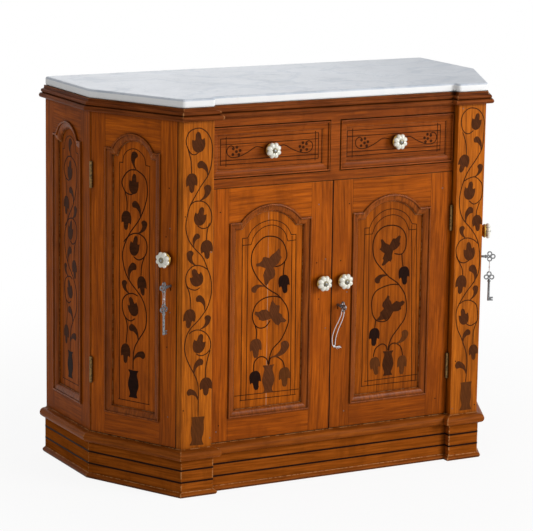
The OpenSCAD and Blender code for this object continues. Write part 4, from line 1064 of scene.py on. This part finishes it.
# Thicknesses of the threads in metres, and the tails' reach, drop and thickness
STRING_THICK = 0.0019
KNOT_THICK = 0.0018
TIE_THICK = 0.0012
WRAP_THICK = 0.0011
TAILS = [(19, 4.5, 0.0014), (17, 2, 0.0012), (14, 6, 0.0008), (20, 5.5, 0.0006),
         (9, 7, 0.0006)]
KNOT_TURNS = [(0.0, 0.0, 0.0), (2.0, 0.6, 0.5), (1.2, -1.6, -0.4), (-1.3, -1.4, 0.5),
              (-1.9, 0.8, -0.4), (0.4, 1.6, 0.4), (2.0, -0.4, -0.3), (0.0, -2.0, 0.3)]


def run_of(points):
    """How long the route through the points is."""
    return sum((b - a).length for a, b in zip(points, points[1:]))


def meshed(piece):
    """A thread's curve turned into a mesh."""
    only(piece)
    bpy.ops.object.convert(target="MESH")
    return piece


def wrap_turns(radius=3.0, depth=1.1, start=-13, pitch=0.17, steps=21):
    """The turns of thread round a tie: across, up and out, eight steps to a turn."""
    for k in range(steps):
        turn = k * math.pi / 4
        yield radius * math.cos(turn), start - pitch * k, depth * math.sin(turn)


class CABINET_OT_strings(bpy.types.Operator):
    """Hang the string loop on the centre key and tie the spare keys to the side keys"""
    bl_idname = "cabinet.strings"
    bl_label = "Strings"

    def execute(self, context):
        looks = finishes(context.scene.cabinet_colours)
        ring_x, ring_y, ring_z = STRING_START
        points = [Vector((ring_x + x, ring_y - z, ring_z + y)) / MM_IN_M
                  for x, y, z in STRING_ROUTE]
        loop = thread("key_string", points, STRING_THICK)
        self.hung(loop, looks, "centre_string", "string_loop")
        tails = self.knot(points[STRING_FOOT], looks)
        run_of(points)
        across = (Vector(CANT_END) - Vector(CANT_CORNER)) / CANT_LENGTH
        out = Vector((across.y, -across.x, 0))
        for side, sign in (("left", 1), ("right", -1)):
            def at(x, y, depth=0):
                ring = Vector((CANT_CORNER[0], CANT_CORNER[1], TIE_START[1] + y))
                p = ring + across * (TIE_START[0] + x) + out * (TIE_OUT + depth)
                return Vector((p.x * sign, p.y, p.z)) / MM_IN_M

            points = [at(x, y) for x, y in TIE_ROUTE]
            wrap = meshed(thread("wrap", [at(*turn) for turn in wrap_turns()], WRAP_THICK))
            finished(wrap, f"spare_key_knot_{side}", looks["cotton"], f"{side}_spare")
            tie = thread(f"spare_key_tie_{side}", points, TIE_THICK)
            self.hung(tie, looks, f"{side}_spare", f"tie_{side}")
            run_of(points)
        return {"FINISHED"}

    def hung(self, piece, looks, body, node):
        """A thread that stands for a node and rides on its body"""
        piece.data.materials.append(looks["cotton"])
        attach(piece, body)
        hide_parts(node)

    def knot(self, middle, looks):
        """The knot at the bottom of the loop, with its frayed tails"""
        parts = [thread("knot", [middle + Vector((x + 1.0, -z - 0.3, y + 0.6)) / MM_IN_M
                                 for x, y, z in smoothed(KNOT_TURNS, 4)], KNOT_THICK)]
        for k, (reach, drop, thick) in enumerate(TAILS):
            route = [(1.0, -1.0, 0.2), (1.0 + reach * 0.35, -1.0 - drop * 0.1, 0.6),
                     (1.0 + reach * 0.7, -drop * 0.55 - 0.5 * (-1) ** k, 0.3),
                     (1.0 + reach, -drop, 0.0)]
            parts.append(thread("tail", [middle + Vector((x, -z - 0.2, y)) / MM_IN_M
                                         for x, y, z in smoothed(route, 4)], thick))
        whole = joined([meshed(part) for part in parts])
        return finished(whole, "string_knot", looks["cotton"], "centre_string")


# Lamps: name, place, size in metres and power in watts. All look at the cabinet's middle.
LAMPS = [("key", (3.2, -4.4, 2.2), 2.2, 190), ("fill", (-3.6, -4.2, 2.2), 3.0, 12),
         ("top", (0.2, -0.6, 4.2), 3.0, 16), ("back", (1.5, 4.5, 2.5), 3.0, 26)]
LAMPS_AIM = (0, 0, 0.5)
SKY_STRENGTH = 0.42
WHITE = (1, 1, 1, 1)
FLOOR_WHITE = (0.90, 0.90, 0.90, 1)
FLOOR_RADIUS = 9
# The floor lies this far under the cabinet's feet, in metres
FLOOR_DROP = 0.0005


class CABINET_OT_stage(bpy.types.Operator):
    """Lay a pale floor and light it softly"""
    bl_idname = "cabinet.stage"
    bl_label = "Stage"

    def execute(self, context):
        bare()
        bpy.ops.mesh.primitive_circle_add(vertices=96, radius=FLOOR_RADIUS, fill_type="NGON",
                                          location=(0, 0, -FLOOR_DROP))
        floor = settled(context.object)
        floor.name = "floor"
        floor.data.materials.append(self.floor_finish())
        context.scene.world = self.studio()
        for name, spot, size, power in LAMPS:
            data = bpy.data.lights.new(name, "AREA")
            data.shape, data.size, data.energy = "DISK", size, power
            lamp = bpy.data.objects.new(name, data)
            way = Vector(LAMPS_AIM) - Vector(spot)
            lamp.matrix_world = (Matrix.Translation(spot)
                                 @ way.to_track_quat("-Z", "Y").to_matrix().to_4x4())
            context.scene.collection.objects.link(lamp)
        return {"FINISHED"}

    def floor_finish(self):
        """White where the camera sees it far off, and a matt floor that takes the shadow"""
        finish = Finish("floor", 0.9, shine=0.1)
        finish.shader.inputs["Base Color"].default_value = FLOOR_WHITE
        away = finish.node("ShaderNodeVectorMath", {"operation": "LENGTH"}, {0: finish.spot}, 1)
        camera, glossy = [finish.node("ShaderNodeLightPath", None, None, ray)
                          for ray in ("Is Camera Ray", "Is Glossy Ray")]
        share = camera.made("MAXIMUM", camera, glossy) * (finish.step(away, 0.6, 2.0) * 0.10 + 0.90)
        bright = finish.node("ShaderNodeEmission", None, {0: WHITE, 1: 1.0})
        both = finish.node("ShaderNodeMixShader", None, {
            0: share, 1: Sum(finish, finish.shader.outputs[0]), 2: bright})
        out = next(n for n in finish.tree.nodes if n.type == "OUTPUT_MATERIAL")
        finish.tree.links.new(both.socket, out.inputs[0])
        return finish.material

    def studio(self):
        """A soft sky for the light, and plain white for what the camera and gloss see"""
        world = bpy.data.worlds.new("studio")
        world.use_nodes = True
        tree = world.node_tree
        tree.nodes.clear()
        rays = tree.nodes.new("ShaderNodeLightPath")
        out = tree.nodes.new("ShaderNodeOutputWorld")
        mix = tree.nodes.new("ShaderNodeMixShader")
        for socket, strength in ((1, SKY_STRENGTH), (2, 1.0)):
            light = tree.nodes.new("ShaderNodeBackground")
            light.inputs[0].default_value, light.inputs[1].default_value = WHITE, strength
            tree.links.new(light.outputs[0], mix.inputs[socket])
        share = rays.outputs["Is Camera Ray"]
        for ray in ("Is Glossy Ray", "Is Transmission Ray"):
            either = tree.nodes.new("ShaderNodeMath")
            either.operation = "MAXIMUM"
            tree.links.new(share, either.inputs[0])
            tree.links.new(rays.outputs[ray], either.inputs[1])
            share = either.outputs[0]
        tree.links.new(share, mix.inputs[0])
        tree.links.new(mix.outputs[0], out.inputs[0])
        return world


# The finish of each node, and of the nodes whose names hold a word
NODE_FINISH = {
    "marble_top": "marble", "top_board": "plain_level", "cornice": "cornice",
    "pilasters": "honey", "side_frames": "side_teak", "side_panels": "side_panel",
    "side_mouldings": "moulding", "back_boards": "plain", "partitions": "plain",
    "floor_and_shelves": "plain_level", "drawer_framing": "frieze_teak",
    "plinth_boards": "plinth", "plinth_mouldings": "foot_moulding",
    "door_left_frame": "left_door_teak", "door_right_frame": "right_door_teak",
    "door_left_panel": "left_panel", "door_right_panel": "right_panel",
    "side_door_left_frame": "left_cant_teak", "side_door_right_frame": "right_cant_teak",
    "side_door_left_panel": "left_cant_panel", "side_door_right_panel": "right_cant_panel",
    "drawer_left_front": "drawer_teak", "drawer_right_front": "drawer_teak"}
WORD_FINISH = {
    "_moulding": "moulding", "_box": "plain_level", "hinge": "hinge", "knob_mount": "tarnish",
    "_knob": "porcelain", "lock": "iron", "key": "iron", "tie_": "cotton", "string": "cotton"}


def finish_of(name):
    """The finish of a node, by its name or by the first word that its name holds."""
    if name in NODE_FINISH:
        return NODE_FINISH[name]
    for word, look in WORD_FINISH.items():
        if word in name:
            return look
    raise RuntimeError(f"no finish for {name}")


class CABINET_OT_finishes(bpy.types.Operator):
    """Give every board, moulding, hinge, lock and key its finish"""
    bl_idname = "cabinet.finishes"
    bl_label = "Finishes"

    def execute(self, context):
        looks = finishes(context.scene.cabinet_colours)
        for name, piece in nodes.items():
            for slot in piece.material_slots:
                slot.material = looks[finish_of(name)]
        return {"FINISHED"}


# How near to the top a corner of the slab's flat top lies, in metres
TOP_FLAT = 0.00001


class CABINET_OT_slab(bpy.types.Operator):
    """Close the marble slab's seams so that its flat top shades evenly"""
    bl_idname = "cabinet.slab"
    bl_label = "Marble slab"

    def execute(self, context):
        slab = bpy.data.objects.new("marble_slab", nodes["marble_top"].data.copy())
        context.scene.collection.objects.link(slab)
        only(slab)
        bpy.ops.mesh.customdata_custom_splitnormals_clear()
        outward(slab)
        bpy.ops.object.mode_set(mode="EDIT")
        bpy.ops.mesh.select_mode(type="FACE")
        bpy.ops.mesh.select_all(action="DESELECT")
        bpy.ops.object.mode_set(mode="OBJECT")
        top = cad_box[1][2] - TOP_FLAT
        for face in slab.data.polygons:
            face.select = all(slab.data.vertices[k].co.z > top for k in face.vertices)
        bpy.ops.object.mode_set(mode="EDIT")
        bpy.ops.mesh.dissolve_faces()
        bpy.ops.mesh.select_mode(type="VERT")
        bpy.ops.object.mode_set(mode="OBJECT")
        outward(slab)
        look = finishes(context.scene.cabinet_colours)["marble"]
        only(finished(slab, "marble_slab", look, "carcass", smooth=60))
        even = slab.modifiers.new("even", "WEIGHTED_NORMAL")
        even.weight, even.keep_sharp = 100, True
        bpy.ops.object.modifier_apply(modifier=even.name)
        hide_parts("marble_top")
        return {"FINISHED"}


class CABINET_OT_inlay(bpy.types.Operator):
    """Lay the vines, flowers and vases into pilasters, doors and sides"""
    bl_idname = "cabinet.inlay"
    bl_label = "Inlay"

    def execute(self, context):
        looks = finishes(context.scene.cabinet_colours)
        sizes = context.scene.cabinet_sizes
        middle = {"rosewood": looks["mid_rosewood"], "line": looks["mid_line"]}
        # The left door's inlay takes the lighter rosewood: painted reflection
        pale = {"rosewood": looks["pale_rosewood"]}
        for name, face, design, woods in (
                ("left_pilaster_inlay", PILASTER, LEFT_PILASTER, middle),
                ("right_pilaster_inlay", PILASTER, RIGHT_PILASTER, middle),
                ("left_cant_inlay", LEFT_CANT, CANT, {}),
                ("right_cant_inlay", RIGHT_CANT, CANT, {}),
                ("left_side_inlay", LEFT_SIDE, CANT, {}),
                ("right_side_inlay", RIGHT_SIDE, CANT, {}),
                ("left_door_inlay", LEFT_PANEL, LEFT_DOOR, pale),
                ("right_door_inlay", RIGHT_PANEL, RIGHT_DOOR, {})):
            veneer(name, face, design, sizes, {**looks, **woods})
        return {"FINISHED"}


# A drawer's strings: where its field begins and ends across, the heights of the level ones,
# and the heights that the upright ones at its ends and those just inside them reach
DRAWER_FIELD = {"left": (-290, -41), "right": (34, 284)}
LEVEL_STRINGS = (803.5, 790, 754.5, 745)
END_STRINGS = (804, 744)
INNER_STRINGS = (808, 741)
INNER_LEFT, INNER_RIGHT = 14, 8


class CABINET_OT_drawer_inlay(bpy.types.Operator):
    """Lay the strings and scrolls into the drawer fronts"""
    bl_idname = "cabinet.drawer_inlay"
    bl_label = "Drawer inlay"

    def execute(self, context):
        looks = finishes(context.scene.cabinet_colours)
        sizes = context.scene.cabinet_sizes
        for side, (low, high) in DRAWER_FIELD.items():
            node = f"drawer_{side}_front"
            face = forward(front(node) + SET_IN, f"drawer_{side}")
            strings = [[(low, height), (high, height)] for height in LEVEL_STRINGS]
            strings += [[(a, height) for height in ends] for a, ends in (
                (low, END_STRINGS), (low + INNER_LEFT, INNER_STRINGS),
                (high - INNER_RIGHT, INNER_STRINGS), (high, END_STRINGS))]
            veneer(f"{side}_drawer_strings", face, {"strings": strings}, sizes, looks)
            knob = knob_middle(f"drawer_{side}")[0]
            for part, flip in (("near", -1), ("far", 1)):
                veneer(f"{side}_drawer_scroll_{part}", face, SCROLL, sizes, looks, flip, knob)
        return {"FINISHED"}


# The case's plan from its left back corner to its right one, how far the plinth stands out
# from it, and the heights of the two lines
LEFT_PLAN = [(-510, 253), CANT_CORNER[:2], CANT_END[:2], (-318, -233), (-318, -215)]
CASE_PLAN = LEFT_PLAN + [(-x, y) for x, y in reversed(LEFT_PLAN)]
PLINTH_STEP = 3.5
PLINTH_LINE_HEIGHTS = (62, 34)
LINE_PROUD = 0.12


def outset(plan, step):
    """An open run of corners, each moved outwards so that every stretch moves by the step."""
    ways = [(Vector(q) - Vector(p)).normalized() for p, q in zip(plan, plan[1:])]
    outs = [Vector((way.y, -way.x)) for way in ways]
    for p, before, after in zip(plan, [outs[0], *outs], [*outs, outs[-1]]):
        yield Vector(p) + (before + after) * (step / (1 + before.dot(after)))


class CABINET_OT_plinth_lines(bpy.types.Operator):
    """Run the two dark lines round the plinth"""
    bl_idname = "cabinet.plinth_lines"
    bl_label = "Plinth lines"

    def execute(self, context):
        looks = finishes(context.scene.cabinet_colours)
        width = context.scene.cabinet_sizes.plinth_line * MM_IN_M
        rims = list(outset(CASE_PLAN, PLINTH_STEP))
        pieces = []
        for height in PLINTH_LINE_HEIGHTS:
            for a, b in zip(rims, rims[1:]):
                run = b - a
                way = run.normalized()
                face = Face((*a, 0), (*way, 0), (way.y, -way.x, 0), "carcass")
                strip = ribbon([(0, height), (run.length, height)], width)
                pieces.append(laid(strip, face, LINE_PROUD))
        finished(veneered(pieces), "plinth_lines", looks["ebony"], "carcass")
        return {"FINISHED"}


# A knob's porcelain begins this far from the wood. The knob of a cant stands this far along it.
KNOB_SEAT = 6.5
CANT_KNOB = 222.7
# A lobe's half lengths outwards, round and along the knob, and the height of its middle
LOBES = 8
LOBE = (8.5, 6.5, 5.7)
LOBE_HEIGHT = 18.5
# Profiles in millimetres: radius, and height from the wood. The bowl's radii are shares of the
# cup's, which a user may change.
CORE = [(0, 13.3), (9, 13.5), (13.4, 14.5), (15.2, 16.8), (15.2, 19.8), (13, 22), (9, 22.9),
        (0, 23)]
CUP_STEM = [(0, 0.3), (6, 0.3), (6.4, 1.1), (7, 3)]
CUP_BOWL = [(0.66, 4.2), (0.86, 6.4), (0.97, 9.2), (1, 11.6), (0.96, 12.7), (0.8, 13.5),
            (0, 13.5)]
ROSETTE = [(0, 21.5), (6.2, 21.5), (6.7, 22.6), (6.5, 23.8), (5.6, 24.6), (0, 24.7)]
SCREW = [(0, 24.8), (2.6, 24.8), (2.5, 25.5), (1.7, 25.9), (0, 26)]


def knob_middle(place):
    """Where the middle of a forward knob meets the wood, in millimetres."""
    low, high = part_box(f"{place}_knob")
    return (round((low[0] + high[0]) / 2 * MM_IN_M, 2),
            round(high[1] * MM_IN_M + KNOB_SEAT, 2),
            round((low[2] + high[2]) / 2 * MM_IN_M, 2))


class CABINET_OT_knobs(bpy.types.Operator):
    """Turn the eight-lobed porcelain knobs with their brass cups, rosettes and screws"""
    bl_idname = "cabinet.knobs"
    bl_label = "Melon knobs"

    def execute(self, context):
        looks = finishes(context.scene.cabinet_colours)
        sizes = context.scene.cabinet_sizes
        patterns = self.patterns(sizes.knob / 2 * MM_IN_M, sizes.cup / 2 * MM_IN_M)
        ahead = Vector((0, -1, 0))
        knobs = [(place, knob_middle(place), ahead)
                 for place in ("drawer_left", "drawer_right", "door_left", "door_right")]
        x, y = [corner + way * CANT_KNOB for corner, way in zip(CANT_CORNER[:2], CANT_ACROSS)]
        height = knob_middle("side_door_left")[2]
        for place, sign in (("side_door_left", 1), ("side_door_right", -1)):
            knobs.append((place, (x * sign, y, height),
                          Vector((CANT_OUT[0] * sign, CANT_OUT[1], 0))))
        for place, spot, out in knobs:
            turn = out.to_track_quat("Z", "Y").to_matrix()
            for part, (pattern, look, slot) in patterns.items():
                piece = pattern.copy()
                piece.data = pattern.data.copy()
                context.scene.collection.objects.link(piece)
                for vertex in piece.data.vertices:
                    vertex.co = (Vector(spot) + turn @ vertex.co) / MM_IN_M
                outward(piece)
                finished(piece, f"{part}_{place}", looks[look], place, smooth=50)
                if part == "melon_knob":
                    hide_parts(f"{place}_knob")
        for pattern, _, _ in patterns.values():
            bpy.data.objects.remove(pattern)
        return {"FINISHED"}

    def patterns(self, knob_r, cup_r):
        """Each part of a knob in millimetres, z outwards from the wood"""
        bowl = [(share * cup_r, height) for share, height in CUP_BOWL]
        return {
            "melon_knob": (self.lobes(knob_r), "porcelain", "porcelain"),
            "knob_core": (turned(CORE), "stain", "porcelain"),
            "knob_cup": (turned(CUP_STEM + bowl), "brass", "aged_brass"),
            "knob_rosette": (turned(ROSETTE), "tarnish", "aged_brass"),
            "knob_screw": (turned(SCREW, 24), "iron", "old_iron")}

    def lobes(self, knob_r):
        """The porcelain lobes, one modelled and the others copied round the knob"""
        bare()
        bpy.ops.mesh.primitive_uv_sphere_add(segments=32, ring_count=18, radius=1)
        first = bpy.context.object
        first.scale, first.location = LOBE, (knob_r - LOBE[0], 0, LOBE_HEIGHT)
        settled(first)
        lobes = [first]
        for k in range(1, LOBES):
            lobe = first.copy()
            lobe.data = first.data.copy()
            bpy.context.scene.collection.objects.link(lobe)
            lobe.data.transform(Matrix.Rotation(k * 2 * math.pi / LOBES, 4, "Z"))
            lobes.append(lobe)
        for lobe in lobes:
            lobe.data.transform(Matrix.Rotation(math.pi / LOBES, 4, "Z"))
        return joined(lobes)


# Filled nail holes and pale plugs by turns, across and up on each face
MARK_RADIUS = 1.5
MARK_PROUD = 0.1
LEFT_DOOR_MARKS = [(-291, 150), (-297, 136), (-43, 505), (-20, 512), (-36, 420), (-17, 350),
                   (-292, 640), (-40, 640)]
RIGHT_DOOR_MARKS = [(20, 505), (38, 430), (24, 350), (290, 655), (286, 150), (36, 148),
                    (40, 636)]
CANT_MARKS = [(226, 700), (229, 610), (218, 590), (230, 420), (222, 340), (226, 180)]
PILASTER_MARKS = [(-388, 640), (-323, 556), (-389, 200), (-322, 130), (329, 240), (324, 125),
                  (386, 128), (330, 842)]


class CABINET_OT_marks(bpy.types.Operator):
    """Set the filled nail holes and plugs that the frames show"""
    bl_idname = "cabinet.marks"
    bl_label = "Nail marks"

    def execute(self, context):
        looks = finishes(context.scene.cabinet_colours)
        for name, face, spots in (
                ("door_left", forward(front("door_left_frame"), "door_left"), LEFT_DOOR_MARKS),
                ("door_right", forward(front("door_right_frame"), "door_right"), RIGHT_DOOR_MARKS),
                ("cant_left", LEFT_CANT_FRAME, CANT_MARKS),
                ("pilasters", PILASTER, PILASTER_MARKS),
                ("cant_right", LEFT_CANT_FRAME.mirrored("side_door_right"), CANT_MARKS)):
            for kind, chosen, look in (("nail_marks", spots[::2], "line"),
                                       ("pale_marks", spots[1::2], "putty")):
                pieces = [laid(slip([(a + MARK_RADIUS * u, b + MARK_RADIUS * v) for u, v in DOT]),
                               face, MARK_PROUD) for a, b in chosen]
                finished(veneered(pieces), f"{kind}_{name}", looks[look], face.body)
        return {"FINISHED"}


class CABINET_PT_sidebar(bpy.types.Panel):
    """The cabinet's pieces and the values that a user may change"""
    bl_idname = "CABINET_PT_sidebar"
    bl_label = "Inlaid Side Cabinet"
    bl_space_type = "VIEW_3D"
    bl_region_type = "UI"
    bl_category = "Cabinet"

    def draw(self, context):
        for group in (context.scene.cabinet_sizes, context.scene.cabinet_colours):
            box = self.layout.box()
            for key in type(group).__annotations__:
                box.prop(group, key)
        for operator in OPERATORS:
            self.layout.operator(operator.bl_idname)


OPERATORS = (
    CABINET_OT_camera, CABINET_OT_strings, CABINET_OT_stage, CABINET_OT_finishes,
    CABINET_OT_slab, CABINET_OT_inlay, CABINET_OT_drawer_inlay, CABINET_OT_plinth_lines,
    CABINET_OT_knobs, CABINET_OT_marks)
CLASSES = (CabinetColours, CabinetSizes, *OPERATORS, CABINET_PT_sidebar)


def register():
    for kind in CLASSES:
        bpy.utils.register_class(kind)
    bpy.types.Scene.cabinet_colours = bpy.props.PointerProperty(type=CabinetColours)
    bpy.types.Scene.cabinet_sizes = bpy.props.PointerProperty(type=CabinetSizes)


def unregister():
    del bpy.types.Scene.cabinet_sizes
    del bpy.types.Scene.cabinet_colours
    for kind in reversed(CLASSES):
        bpy.utils.unregister_class(kind)


def main():
    register()
    bpy.ops.cabinet.camera()
    bpy.ops.cabinet.strings()
    bpy.ops.cabinet.stage()
    bpy.ops.cabinet.finishes()
    bpy.ops.cabinet.slab()
    bpy.ops.cabinet.inlay()
    bpy.ops.cabinet.drawer_inlay()
    bpy.ops.cabinet.plinth_lines()
    bpy.ops.cabinet.knobs()
    bpy.ops.cabinet.marks()
    bare()


if __name__ == "__main__":
    main()
